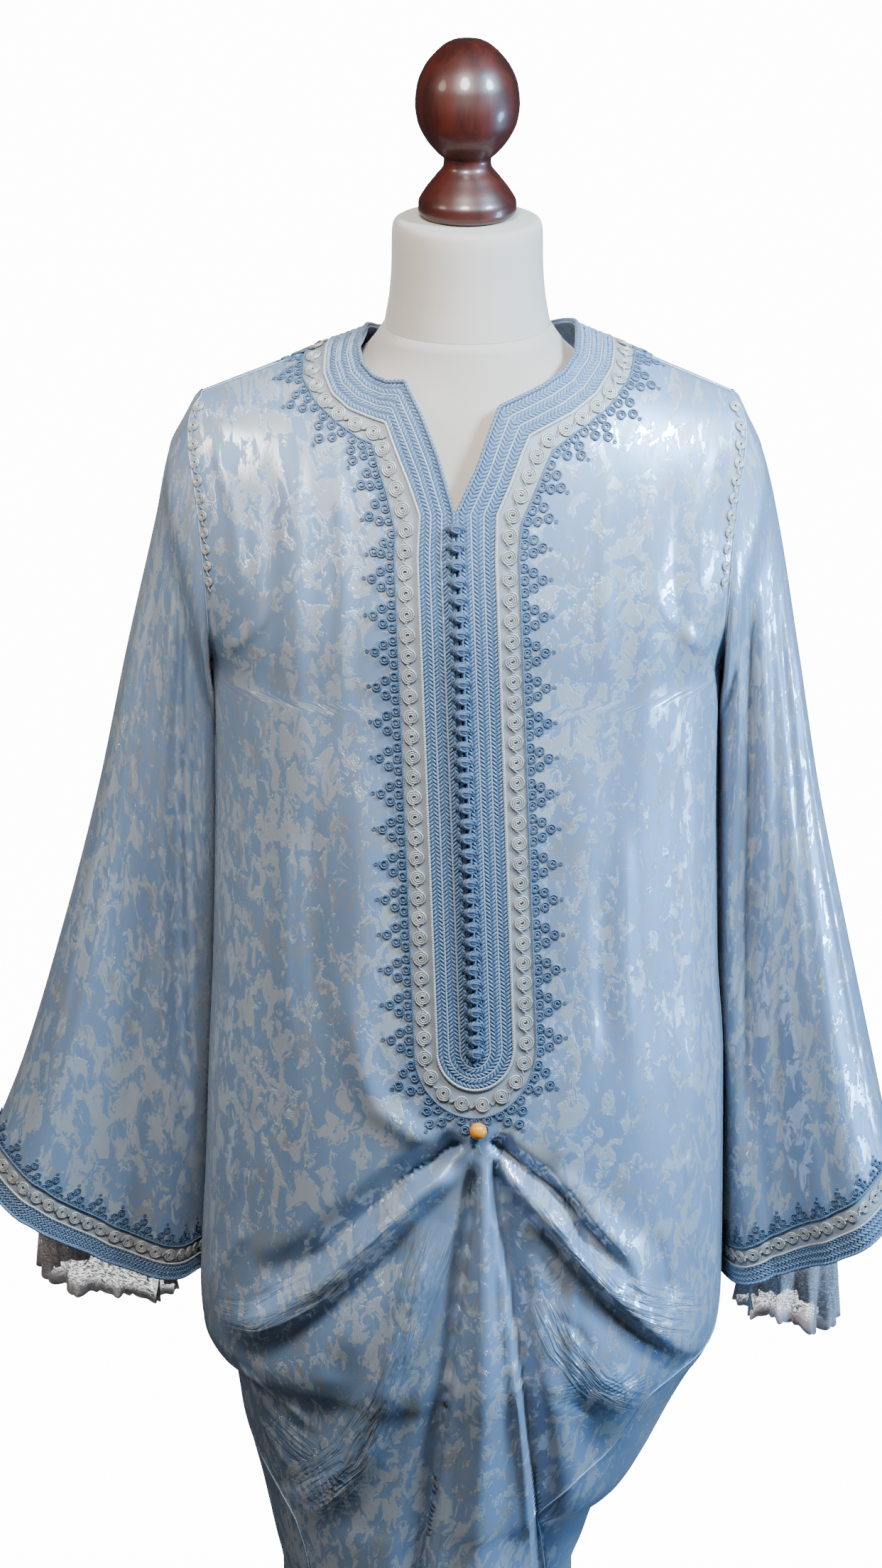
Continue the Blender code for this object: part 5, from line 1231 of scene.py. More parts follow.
class Robe:
    """The garment's four panels as fine grids."""

    def __init__(self, fine: float) -> None:
        """Keeps the fineness, and later the edge lines of the panels."""
        self.fine = fine
        self.edges: dict[str, np.ndarray] = {}

    def count(self, number: int) -> int:
        """A number of rows or columns at this fineness."""
        return max(4, round(number * self.fine))

    def lower_rows(self) -> tuple[np.ndarray, np.ndarray]:
        """Heights of the rows below the armholes, and the free skirt's shares, -1 above it."""
        shares = np.linspace(0, 1, self.count(28), endpoint=False)
        free = HEM_BACK_Z + shares * (FREE_SKIRT_TOP_Z - HEM_BACK_Z)
        drape = np.interp(np.linspace(0, 1, self.count(132), endpoint=False), (0, 0.12, 0.36, 0.95, 1),
                          (FREE_SKIRT_TOP_Z, 0.50, 0.64, 0.90, DRAPE_TOP_Z))
        plain = np.linspace(DRAPE_TOP_Z, ARM_Z, self.count(40), endpoint=False)
        heights = np.concatenate([free, drape, plain])
        return heights, np.concatenate([shares, np.full(len(drape) + len(plain), -1.0)])

    @staticmethod
    def tube(rows: np.ndarray, shares: np.ndarray, angles: np.ndarray) -> np.ndarray:
        """Points of the body's tube for a grid of angles."""
        heights = np.repeat(rows[:, None], angles.shape[1], 1)
        hem = hem_z(angles)
        heights = np.where(shares[:, None] >= 0, hem + shares[:, None] * (FREE_SKIRT_TOP_Z - hem), heights)
        left, right = body("left", heights), body("right", heights)
        x = (right - left) / 2 + (left + right) / 2 * np.sin(angles)
        y = np.where(np.cos(angles) > 0, front_y(x, heights), back_y(x, heights))
        return np.stack([x, y, heights], -1)

    def half_front(self, side: Side) -> Grid:
        """One half of the front, from the slit outwards."""
        columns = self.count(84)
        seam = "seam_left" if side is Side.LEFT else "seam_right"
        rows, shares = self.lower_rows()
        middle, half = (body("right", rows) - body("left", rows)) / 2, (body("left", rows)
                                                                        + body("right", rows)) / 2
        slit = np.arcsin((slit_x(rows) - middle) / half)
        even = np.linspace(0, 1, columns)
        spread = np.sin(even * math.pi / 2) * 0.35 + even * 0.65
        upwards = ease((rows - 0.95) / (ARM_Z - 0.95))[:, None]
        part = even + upwards * (np.arcsin(spread) / (math.pi / 2) - even)
        angles = slit[:, None] + part * (side_seam(seam, rows) - slit)[:, None]
        lower = self.tube(rows, shares, angles)
        open_rows = rows > PLACKET_END_Z + 0.001
        lower[open_rows, 0, 0] = slit_x(rows[open_rows]) + side.value * SLIT_GAP / 2
        lower[:, 0, 1] = front_y(lower[:, 0, 0], lower[:, 0, 2])
        table = TRIM_LEFT if side is Side.LEFT else TRIM_RIGHT
        slit_rows = np.linspace(ARM_Z, table[0][1], 5)[:-1]
        knots = [(float(slit_x(z)) + side.value * SLIT_GAP / 2,
                  z) for z in slit_rows] + [row[:2] for row in table]
        steps = np.concatenate([np.linspace(k, k + 1, self.count(7), endpoint=False) for k in range(12)]
                               + [[12.0]])
        grid = np.arange(13)
        edge_x, edge_z = (np.interp(steps, grid, [knot[k] for knot in knots])[:, None] for k in (0, 1))
        arm_z = np.interp(steps, grid, ARM_ROWS)[:, None]
        x = edge_x + spread * (side.value * arm_x(arm_z) - edge_x)
        z = edge_z + spread * (arm_z - edge_z)
        z = np.minimum(z, shoulder_top(x, FRONT_NECK_TOP_Z))
        upper = np.stack([x, front_y(x, z), z], -1)
        points = np.concatenate([lower, upper])
        angle = np.concatenate([angles, np.arcsin(np.clip(x / UPPER_HALF_X, -1, 1))])
        weave = np.stack([angle * 0.19, points[..., 2], np.zeros_like(angle)], -1)
        self.edges["side_" + side.label] = lower[:, -1]
        self.edges["arm_front_" + side.label] = upper[:, -1]
        self.edges["shoulder_" + side.label] = upper[-1]
        return Grid(points, weave)

    def front(self) -> Cloth:
        """The front panel, slit from the V down to the placket's end."""
        parts = []
        for side in Side:
            grid = self.half_front(side)
            points = grid.points.reshape(-1, 3)
            faces = outward(points, grid.faces(), np.array([0.0, 0.6, 0.8]))
            parts.append((points, grid.weave.reshape(-1, 3), faces))
        return Cloth("robe_front", *welded(parts))

    def back(self) -> Cloth:
        """The back panel with its neckline."""
        columns = self.count(112)
        rows, shares = self.lower_rows()
        s = np.linspace(0, 1, columns)
        start = side_seam("seam_right", rows)[:, None]
        end = side_seam("seam_left", rows)[:, None] + 2 * math.pi
        angles = start + s * (end - start)
        lower = self.tube(rows, shares, angles)
        t = np.linspace(0, 1, self.count(64))[1:, None]
        lift = np.sin(t * math.pi / 2) * 0.5 + t * 0.5
        arm_z = ARM_Z + lift * (TIP_Z - ARM_Z)
        armhole = arm_x(arm_z)
        q = s * 16
        neck = back_neck(np.pi / 2 - (np.clip(q, 4, 12) - 4) / 8 * np.pi)
        right_x, left_x = TRIM_RIGHT[-1][0], TRIM_LEFT[-1][0]
        x = np.where(q < 4, armhole + (right_x - armhole) * q / 4, neck[:, 0])
        x = np.where(q > 12, left_x + (-armhole - left_x) * (q - 12) / 4, x)
        top = np.where((q < 4) | (q > 12), shoulder_top(x, BACK_NECK_TOP_Z), neck[:, 2])
        place = x * t + (1 - t) * np.cos(math.pi * s) * armhole
        z = np.where(t >= 1, top, ARM_Z + lift * (top - ARM_Z))
        z = np.minimum(z, shoulder_top(place, BACK_NECK_TOP_Z))
        upper = np.stack([place, back_y(place, z), z], -1)
        points = np.concatenate([lower, upper])
        across = np.concatenate([angles, np.pi - np.arcsin(np.clip(place / UPPER_HALF_X, -1, 1))])
        weave = np.stack([across * 0.19, points[..., 2], np.zeros_like(across)], -1)
        for side, at in ((Side.RIGHT, 0), (Side.LEFT, -1)):
            self.edges["arm_back_" + side.label] = upper[:, at]
        grid = Grid(points, weave)
        flat = points.reshape(-1, 3)
        return Cloth("robe_back", flat, weave.reshape(-1, 3),
                     outward(flat, grid.faces(), np.array([0.0, -0.6, 0.8])))

    def sleeve(self, side: Side) -> Cloth:
        """A sleeve, wide at the cuff."""
        v = np.linspace(0, 1, self.count(160))
        angles = np.linspace(0, 2 * math.pi, self.count(104), endpoint=False)
        points = sleeve_points(side, angles[None, :], v[:, None])
        weave = np.stack(np.broadcast_arrays(angles[None, :] * 0.085, -v[:, None] * 0.64, side.value * 1.0),
                         -1)
        flat = points.reshape(-1, 3)
        faces = Grid(points, weave).faces(closed=True)
        centre = points.mean(1, keepdims=True).repeat(points.shape[1], 1).reshape(-1, 3)
        a, b, d = (flat[faces[:, k]] for k in (0, 1, 3))
        if ((a - centre[faces[:, 0]]) * np.cross(b - a, d - a)).sum() < 0:
            faces = faces[:, ::-1]
        return Cloth("robe_sleeve_" + side.label, flat, weave.reshape(-1, 3), faces)


def back_neck(angle: np.ndarray) -> np.ndarray:
    """Points of the back neckline, from 90 degrees at the right neck point to -90 at the left."""
    angle = np.asarray(angle, float)
    side = np.where(angle > 0, TRIM_RIGHT[-1][0], -TRIM_LEFT[-1][0])
    x = side * np.sin(angle)
    y = BACK_NECK_DEPTH * np.cos(angle)
    share = section(x, TIP_Z) ** 0.9 * body("back", TIP_Z)
    rise = np.sqrt(np.clip(1 - (y / share) ** 2, 0, 1))
    return np.stack([x, y, DOME_Z + (shoulder_top(x, BACK_NECK_TOP_Z) - DOME_Z) * rise], -1)


def sleeve_points(side: Side, angle: np.ndarray, v: np.ndarray) -> np.ndarray:
    """Points of a sleeve.

    Args:
        side: which sleeve.
        angle: 0 is its outer edge, 90 degrees its front and 180 its edge by the body.
        v: share of the way from armhole to cuff.

    Returns:
        The points.
    """
    angle, v = np.broadcast_arrays(np.asarray(angle, float), np.asarray(v, float))
    table = SLEEVE_LEFT if side is Side.LEFT else SLEEVE_RIGHT
    folds = SLEEVE_FOLDS_LEFT if side is Side.LEFT else SLEEVE_FOLDS_RIGHT
    value = {name: column(table, SLEEVE_COLUMNS, name, v) for name in SLEEVE_COLUMNS[1:]}
    flat = (1 - np.cos(angle)) / 2
    swing = np.sin(angle)
    x = value["outer_x"] + (value["inner_x"] - value["outer_x"]) * flat
    z = value["outer_z"] + (value["inner_z"] - value["outer_z"]) * flat
    z = z - value["bow"] * np.abs(swing) ** 1.3
    middle = value["outer_y"] + (value["inner_y"] - value["outer_y"]) * flat
    depth = np.where(swing > 0, value["front"], value["back"])
    fold = np.zeros(angle.shape)
    for top, cuff, height, width, start, end in folds:
        at = top + (cuff - top) * v
        near = 1 - np.abs(np.degrees(angle) % 360 - at) / width
        rise = 0.45 if end > 2 else 0.18
        fold += height / 1000 * ease(near) * ease((v - start) / rise) * ease((end - v) / 0.25)
    y = middle - np.where(swing < 0, -1, 1) * (np.abs(swing) ** 0.8 * depth + fold)
    arm_z = (TIP_Z + ARM_Z) / 2 + (TIP_Z - ARM_Z) / 2 * np.cos(angle)
    arm_half = arm_x(arm_z) + ARM_GAP
    arm_y = np.where(swing > 0, front_y(arm_half, arm_z), back_y(arm_half, arm_z))
    blend = ease(1 - v / SLEEVE_BLEND_V)
    x = x + (arm_half + (value["outer_x"] - SLEEVE_TOP_X) * (1 - flat) - x) * blend
    y = y + (arm_y - y) * blend
    z = z + (arm_z - (TIP_Z - value["outer_z"]) * (1 - flat) - (ARM_Z - value["inner_z"]) * flat - z) * blend
    return np.stack([side.value * x, y, z], -1)


def resampled(line: np.ndarray, step: float, closed: bool) -> np.ndarray:
    """A line at an even step.

    Args:
        line: its points.
        step: the distance between the new points.
        closed: whether it joins up.

    Returns:
        The new points.
    """
    line = np.concatenate([line, line[:1]]) if closed else line
    starts = np.concatenate([[0], np.cumsum(np.linalg.norm(np.diff(line, axis=0), axis=1))])
    count = max(2, round(starts[-1] / step))
    at = np.linspace(0, starts[-1], count + 1)[: count if closed else count + 1]
    return np.stack([np.interp(at, starts, line[:, k]) for k in range(3)], 1)


class Band:
    """A closed band of trim on a panel: rails at shares across it, 0 to 1 the braid and 1 to 2 the coils."""

    def __init__(self, panel: Panel, rails: np.ndarray) -> None:
        """Keeps the cloth under the band and the band's rails."""
        self.panel = panel
        self.rails = rails

    def rail(self, share: float) -> np.ndarray:
        """Points of the band's line at a share across."""
        k = min(int(share), self.rails.shape[1] - 2)
        t = share - k
        return self.rails[:, k] * (1 - t) + self.rails[:, k + 1] * t

    def line(self, share: float, step: float, lift: float) -> np.ndarray:
        """A seated closed line at a share across the band."""
        place, normal = self.panel.seat(resampled(self.rail(share), step, True))
        return place + normal * lift

    def places(self, share: float, pitch: float, lift: float, lean: float = 0.0) -> Places:
        """Evenly spaced seated places at a share across the band.

        Args:
            share: the share across.
            pitch: the distance between places.
            lift: the height over the cloth.
            lean: the angle in degrees by which each is turned from the line.

        Returns:
            The places.
        """
        rail = self.rail(share)
        fine = resampled(rail, pitch / 4, True)
        count = len(fine) // 4
        at = np.arange(count) * len(fine) / count
        lower = at.astype(int)
        t = (at - lower)[:, None]
        points = fine[lower] * (1 - t) + fine[(lower + 1) % len(fine)] * t
        along = fine[(lower + 2) % len(fine)] - fine[(lower - 1) % len(fine)]
        place, normal = self.panel.seat(points)
        across = np.cross(normal, along)
        across /= np.linalg.norm(across, axis=1, keepdims=True)
        along = along / np.linalg.norm(along, axis=1, keepdims=True)
        turned = along * math.cos(math.radians(lean)) + across * math.sin(math.radians(lean))
        return Places(place + normal * lift, turned, normal, np.ones((count, 3)))

    def loops(self, pitch: float, pattern: Sequence[tuple[float, float, float]], lift: float) -> Places:
        """Places of small rings in points outside the coils.

        Args:
            pitch: the distance between points.
            pattern: each ring's place along, its place outwards and its scale.
            lift: the height over the cloth.

        Returns:
            The places.
        """
        inner, outer = self.rail(1.0), self.rail(2.0)
        line = np.concatenate([outer, outer[:1]])
        starts = np.concatenate([[0], np.cumsum(np.linalg.norm(np.diff(line, axis=0), axis=1))])
        count = round(starts[-1] / pitch)
        real = starts[-1] / count
        heads = outer - inner
        heads = np.concatenate([heads, heads[:1]])
        found = []
        for dx, out, size in pattern:
            at = (np.arange(count) * real + dx * real / pitch) % starts[-1]
            points = np.stack([np.interp(at, starts, line[:, k]) for k in range(3)], 1)
            heading = np.stack([np.interp(at, starts, heads[:, k]) for k in range(3)], 1)
            place, normal = self.panel.march(points, heading, np.full(count, out))
            found.append((place + normal * lift, heading, normal, np.full((count, 3), size)))
        return Places(*(np.concatenate([part[k] for part in found]) for k in range(4)))


def neck_rails(panel: Panel) -> np.ndarray:
    """Stations of the neck's band: its edge, the braid's outer side and the coils' outer side."""

    def on_front(rows: Sequence[Sequence[float]]) -> list[list[tuple[float, float, float]]]:
        """The x and z pairs of each row, put on the front."""
        return [[(row[k], float(front_y(row[k], row[k + 1])), row[k + 1]) for k in (0, 2, 4)] for row in rows]

    widths = {-1: (BAND_START, 0.0306, 0.0457), 1: (BAND_START, 0.0312, 0.0463)}
    heights = np.linspace(1.360, PLACKET_END_Z, 40)
    down = [[value for out in widths[-1] for value in (float(slit_x(z)) - out, z)] for z in heights]
    up = [[value for out in widths[1] for value in (float(slit_x(z)) + out, z)] for z in heights[::-1]]
    middle = float(slit_x(PLACKET_END_Z))
    bend = []
    for angle in np.linspace(0, math.pi, 26)[1:-1]:
        bend.append([value for out, low in ((BAND_START, 0.0045), (BRAID_WIDTH, 0.0330), (COIL_END, 0.0530))
                     for value in (middle - out * math.cos(angle), PLACKET_END_Z - low * math.sin(angle))])
    front = on_front([*reversed(TRIM_LEFT), *down, *bend, *up, *TRIM_RIGHT])
    start = back_neck(np.linspace(math.pi / 2, -math.pi / 2, 30)[1:-1])
    place, normal = panel.seat(start)
    along = np.gradient(start, axis=0)
    out = np.cross(normal, along)
    out *= np.where(out[:, 2:] > 0, -1, 1)
    braid, _ = panel.march(place, out, np.full(len(start), BRAID_WIDTH))
    coil, _ = panel.march(place, out, np.full(len(start), COIL_END))
    return np.concatenate([np.array(front), np.stack([start, braid, coil], 1)])


def cuff_rails(side: Side) -> np.ndarray:
    """Stations of a cuff's band, from the cuff's edge up the sleeve."""
    angles = np.linspace(0, 2 * math.pi, 240, endpoint=False)
    marks = (CUFF_BRAID[1], CUFF_BRAID[0], CUFF_COILS_V)
    return np.stack([sleeve_points(side, angles, np.full(len(angles), v)) for v in marks], 1)


def swept(points: np.ndarray, radius: float, sides: int) -> tuple[np.ndarray, list[list[int]]]:
    """A round tube along an open line that lies about flat.

    Args:
        points: the line.
        radius: the tube's radius.
        sides: the sides of its section.

    Returns:
        Points and faces.
    """
    tangent = np.gradient(points, axis=0)
    tangent /= np.linalg.norm(tangent, axis=1, keepdims=True)
    up = np.array([0.0, 0.0, 1.0])
    across = np.cross(tangent, up)
    across /= np.maximum(np.linalg.norm(across, axis=1, keepdims=True), 1e-6)
    over = np.cross(across, tangent)
    turn = np.linspace(0, 2 * math.pi, sides, endpoint=False)
    ring = points[:, None] + radius * (np.cos(turn)[None, :, None] * across[:, None]
                                       + np.sin(turn)[None, :, None] * over[:, None])
    faces = Grid(ring, ring).faces(closed=True).tolist()
    last = (len(points) - 1) * sides
    faces += [list(range(sides)), [last + k for k in reversed(range(sides))]]
    return ring.reshape(-1, 3), faces


def joined(name: str, parts: Sequence[tuple[np.ndarray, list[list[int]]]]) -> bpy.types.Object:
    """One object of several meshes."""
    points, faces, start = [], [], 0
    for part_points, part_faces in parts:
        points.append(part_points)
        faces += [[number + start for number in face] for face in part_faces]
        start += len(part_points)
    return mesh_object(name, np.concatenate(points), faces)


def stitch_template(length: float, width: float, height: float) -> bpy.types.Object:
    """A small leaf-shaped stitch."""
    rings = [(-length / 2, 0.25), (-length / 5, 1.0), (length / 5, 1.0), (length / 2, 0.25)]
    points = [(x, width / 2 * share * math.cos(turn), height * share * max(0.0, math.sin(turn)) + 0.0001)
              for x, share in rings for turn in (0, math.pi / 3, 2 * math.pi / 3, math.pi)]
    faces = Grid(np.array(points).reshape(4, 4, 3), np.zeros(1)).faces().tolist()
    return mesh_object("stitch", np.array(points), faces)


def coil_template(radius: float, pitch: float, cord: float) -> bpy.types.Object:
    """A flat spiral of cord whose end runs on to the next one."""
    turn = np.linspace(0, 3.1 * 2 * math.pi, 42)
    size = 0.0011 + (radius - cord - 0.0011) * turn / turn[-1]
    spiral = np.stack([size * np.cos(turn[-1] - turn), -size * np.sin(turn[-1] - turn),
                       np.full(len(turn), cord * 0.9)], 1)
    reach = pitch - radius * 0.75
    tail = np.array([[radius * 0.86, 0.0, cord], [radius * 1.02, -radius * 0.24, cord * 1.3],
                     [pitch / 2 + 0.0006, -radius * 0.10, cord * 1.5], [reach, radius * 0.30, cord * 1.2]])
    return joined("coil", [swept(spiral, cord, 5), swept(tail, cord * 0.8, 4)])


def curl_template(radius: float, cord: float, turns: float) -> bpy.types.Object:
    """A small flat curl of cord."""
    turn = np.linspace(0, turns * 2 * math.pi, round(turns * 10))
    size = 0.0010 + (radius - cord - 0.0010) * np.clip(turn / (turn[-1] - 4.4), 0, 1)
    line = np.stack([size * np.cos(turn), size * np.sin(turn), np.full(len(turn), cord * 0.8)], 1)
    return joined("curl", [swept(line, cord, 4)])


def ball(radius: float, around: int, rings: int,
         centre: tuple[float, float, float]) -> tuple[np.ndarray, list[list[int]]]:
    """Points and faces of a ball."""
    tilt = np.linspace(0.02, math.pi - 0.02, rings)
    turn = np.linspace(0, 2 * math.pi, around, endpoint=False)
    points = np.stack([np.sin(tilt)[:, None] * np.cos(turn), np.sin(tilt)[:, None] * np.sin(turn),
                       np.repeat(np.cos(tilt)[:, None], around, 1)], -1) * radius + np.array(centre)
    faces = Grid(points, points).faces(closed=True).tolist()
    return points.reshape(-1, 3), faces


def knot_template(radius: float) -> bpy.types.Object:
    """A knotted ball button with its cord loops to both sides; z is out of the cloth."""
    parts = [ball(radius * 0.80, 12, 8, (0, 0, radius * 0.85))]
    turn = np.linspace(0, 2 * math.pi, 17)
    for number in range(4):
        yaw, tilt = number * math.pi / 4, math.radians(58)
        flat = np.stack([np.cos(turn), np.sin(turn), np.zeros(17)], 1) * radius * 0.80
        lean = np.array([[1, 0, 0], [0, math.cos(tilt), -math.sin(tilt)],
                         [0, math.sin(tilt), math.cos(tilt)]])
        spin = np.array([[math.cos(yaw), -math.sin(yaw), 0], [math.sin(yaw), math.cos(yaw), 0], [0, 0, 1]])
        line = flat @ lean.T @ spin.T + np.array([0, 0, radius * 0.85])
        parts.append(swept(line, radius * 0.24, 5))
    for side in (-1, 1):
        loop = np.array([[side * x * radius, y * radius, radius * 0.28] for x,
                         y in ((0.4, 0.42), (1.0, 0.40), (1.25, 0.0), (1.0, -0.40), (0.4, -0.42))])
        parts.append(swept(resampled(loop, radius * 0.45, False), radius * 0.20, 4))
    return joined("knot", parts)


@dataclass(frozen=True)
class TrimLook:
    """Sizes of one band's trims, in metres."""

    coil_radius: float
    coil_pitch: float
    point_pitch: float
    point_scale: float
    cord: float


NECK_LOOK = TrimLook(coil_radius=0.0071, coil_pitch=0.0162, point_pitch=0.0284, point_scale=1.0, cord=1.0)
CUFF_LOOK = TrimLook(coil_radius=0.0061, coil_pitch=0.0125, point_pitch=0.0216, point_scale=0.78, cord=0.9)


class Trims:
    """Braids, cords, coils and loop-work points of the neck and the cuffs."""

    BRAIDS = (0.200, 0.505, 0.805)
    CORDS = (0.352, 0.655)
    RIM = 0.968
    # place along the point, place outwards, scale
    POINT = (
        (-0.0093, 0.0050, 1.0), (0.0, 0.0054, 1.0), (0.0093, 0.0050, 1.0), (-0.0060, 0.0124, 1.0),
        (0.0060, 0.0124, 1.0), (0.0, 0.0194, 1.0), (0.0, 0.0258, 0.42),
    )

    def __init__(self, trees: RepeatTree, finishes: dict[str, bpy.types.Material]) -> None:
        """Keeps the node trees and the finishes."""
        self.trees = trees
        self.finishes = finishes

    def strip(self, band: Band, name: str, low: float, high: float, lift: float) -> bpy.types.Object:
        """A strip of cloth between two shares across the band."""
        shares = np.linspace(low, high, 7)
        count = len(resampled(band.rail(1.0), 0.0035, True))
        rails = []
        for share in shares:
            rail = np.concatenate([band.rail(share), band.rail(share)[:1]])
            at = np.linspace(0, len(rail) - 1, count, endpoint=False)
            line = np.stack([np.interp(at, np.arange(len(rail)), rail[:, k]) for k in range(3)], 1)
            place, normal = band.panel.seat(line)
            rails.append(place + normal * lift)
        points = np.stack(rails)
        faces = Grid(points, points).faces(closed=True)
        return mesh_object(name, points.reshape(-1, 3), faces.tolist())

    def cord(self, band: Band, name: str, shares: Sequence[float], radius: float, finish: str,
             slot: str) -> None:
        """Cords at shares across the band."""
        lines = [(band.line(share, 0.0024, radius * 1.15), True) for share in shares]
        made = self.trees.on_lines(name, lines, radius, 6, self.finishes[finish])
        finish_piece(made, self.finishes[finish], slot)

    def build(self, band: Band, prefix: str, suffix: str, look: TrimLook) -> None:
        """All the trims of one band.

        Args:
            band: the band.
            prefix: neck or cuff.
            suffix: empty or the side.
            look: its sizes.
        """
        trees, finishes = self.trees, self.finishes
        stitches = []
        for share in self.BRAIDS:
            for offset, lean in ((-0.068, 40.0), (0.068, -40.0)):
                stitches.append(band.places(share + offset, 0.0033, 0.0008, lean))
        keys = ("points", "along", "out", "grow")
        merged = Places(*(np.concatenate([getattr(part, key) for part in stitches]) for key in keys))
        braid = trees.on_points(f"{prefix}_braid_stitches{suffix}", merged,
                                stitch_template(0.0056, 0.0020, 0.0013), finishes["braid"], 3)
        finish_piece(braid, finishes["braid"], "braid", f"{prefix}_braid{suffix}")
        finish_piece(self.strip(band, f"{prefix}_band{suffix}", 0.0, 0.985, 0.0006), finishes["backing"],
                     "braid")
        finish_piece(self.strip(band, f"{prefix}_coil_tape{suffix}", 0.985, 2.06, 0.0004), finishes["tape"],
                     "silver")
        self.cord(band, f"{prefix}_silver_cords{suffix}", self.CORDS, 0.0008 * look.cord, "cord", "silver")
        self.cord(band, f"{prefix}_rim_cord{suffix}", (self.RIM,), 0.00125 * look.cord, "silver", "silver")
        self.cord(band, f"{prefix}_edge_cord{suffix}", (0.030,), 0.0016 * look.cord, "edge", "braid")
        self.cord(band, f"{prefix}_point_cord{suffix}", (2.10,), 0.0009, "points", "points")
        coils = trees.on_points(f"{prefix}_coil_row{suffix}", band.places(1.56, look.coil_pitch, 0.0006),
                                coil_template(look.coil_radius, look.coil_pitch, 0.00085 * look.cord),
                                finishes["silver"], 5)
        finish_piece(coils, finishes["silver"], "silver", f"{prefix}_coils{suffix}")
        pattern = [(dx * look.point_scale, out * look.point_scale, size * look.point_scale) for dx, out,
                   size in self.POINT]
        points = trees.on_points(f"{prefix}_loop_points{suffix}",
                                 band.loops(look.point_pitch, pattern, 0.0004),
                                 curl_template(0.0043, 0.00072, 1.9), finishes["points"], 7)
        finish_piece(points, finishes["points"], "points", f"{prefix}_points{suffix}")


class Fastenings:
    """The button column, the armhole coils and the bead."""

    def __init__(self, trees: RepeatTree, finishes: dict[str, bpy.types.Material], panel: Panel) -> None:
        """Keeps the node trees, the finishes and the cloth under the fastenings."""
        self.trees = trees
        self.finishes = finishes
        self.panel = panel

    def buttons(self) -> None:
        """The closed column of knotted ball buttons."""
        gaps = BUTTON_COUNT - 1
        span = BUTTON_TOP_Z - (PLACKET_END_Z - 0.0015)
        closing = 2 * (BUTTON_PITCH_TOP * gaps - span) / (gaps * (gaps - 1))
        k = np.arange(BUTTON_COUNT)
        z = BUTTON_TOP_Z - BUTTON_PITCH_TOP * k + closing * k * (k - 1) / 2
        x = slit_x(z)
        points = np.stack([x, front_y(x, z), z], 1)
        place, normal = self.panel.seat(points)
        along = np.repeat([[1.0, 0.0, 0.0]], BUTTON_COUNT, 0)
        places = Places(place + normal * 0.0016, along, normal,
                        np.repeat([[1.32, 1.0, 1.0]], BUTTON_COUNT, 0))
        made = self.trees.on_points("knot_buttons", places, knot_template(BUTTON_RADIUS),
                                    self.finishes["button"], 11)
        finish_piece(made, self.finishes["button"], "button",
                     *(f"button_{n:02d}" for n in range(1, BUTTON_COUNT + 1)))

    def bead(self) -> None:
        """The amber bead that pins the drape."""
        x = float(slit_x(BEAD_Z))
        place, normal = self.panel.seat(np.array([[x, float(front_y(x, BEAD_Z)), BEAD_Z]]))
        centre = tuple(place[0] + normal[0] * (BEAD_RADIUS + 0.0012))
        made = mesh_object("amber_bead", *ball(BEAD_RADIUS, 40, 24, centre))
        finish_piece(made, self.finishes["bead"], "bead", "pin_bead")

    def arm_coils(self, side: Side) -> None:
        """The coil row beside an armhole seam, over the shoulder's tip and down the front."""
        z = np.linspace(TIP_Z - 0.008, 1.326, 11)
        x = side.value * (arm_x(z) - 0.0040)
        top = shoulder_top(x, FRONT_NECK_TOP_Z) - 0.003
        place, normal = self.panel.seat(np.stack([x, front_y(x, np.minimum(z, top)), z], 1))
        along = np.gradient(place, axis=0)
        grow = np.repeat(np.linspace(0.84, 0.66, len(z))[:, None], 3, 1)
        places = Places(place + normal * 0.0006, along, normal, grow)
        template = coil_template(0.0066, 0.0166, 0.0009)
        made = self.trees.on_points("arm_coil_row_" + side.label, places, template, self.finishes["silver"],
                                    13)
        finish_piece(made, self.finishes["silver"], "silver", "arm_coils_" + side.label)

    def seam_cords(self, robe: Robe) -> None:
        """Thin blue-grey piping along the shoulder, armhole and side seams."""
        for side in Side:
            label = side.label
            shoulder = robe.edges["shoulder_" + label]
            shoulder = shoulder[np.abs(shoulder[:, 0]) > 0.128] + np.array([0, 0, 0.0006])
            lines = [(resampled(shoulder, 0.004, False), False)]
            for part in ("arm_front_", "arm_back_"):
                line = robe.edges[part + label] + np.array([side.value * 0.0004, 0, 0])
                lines.append((resampled(line, 0.004, False), False))
            seam = robe.edges["side_" + label]
            away = seam * np.array([1, 1, 0]) / np.linalg.norm(seam[:, :2], axis=1, keepdims=True)
            lines.append((resampled(seam + away * 0.0004, 0.004, False), False))
            made = self.trees.on_lines("seam_cords_" + label, lines, 0.0007, 6, self.finishes["piping"])
            finish_piece(made, self.finishes["piping"], "silver")


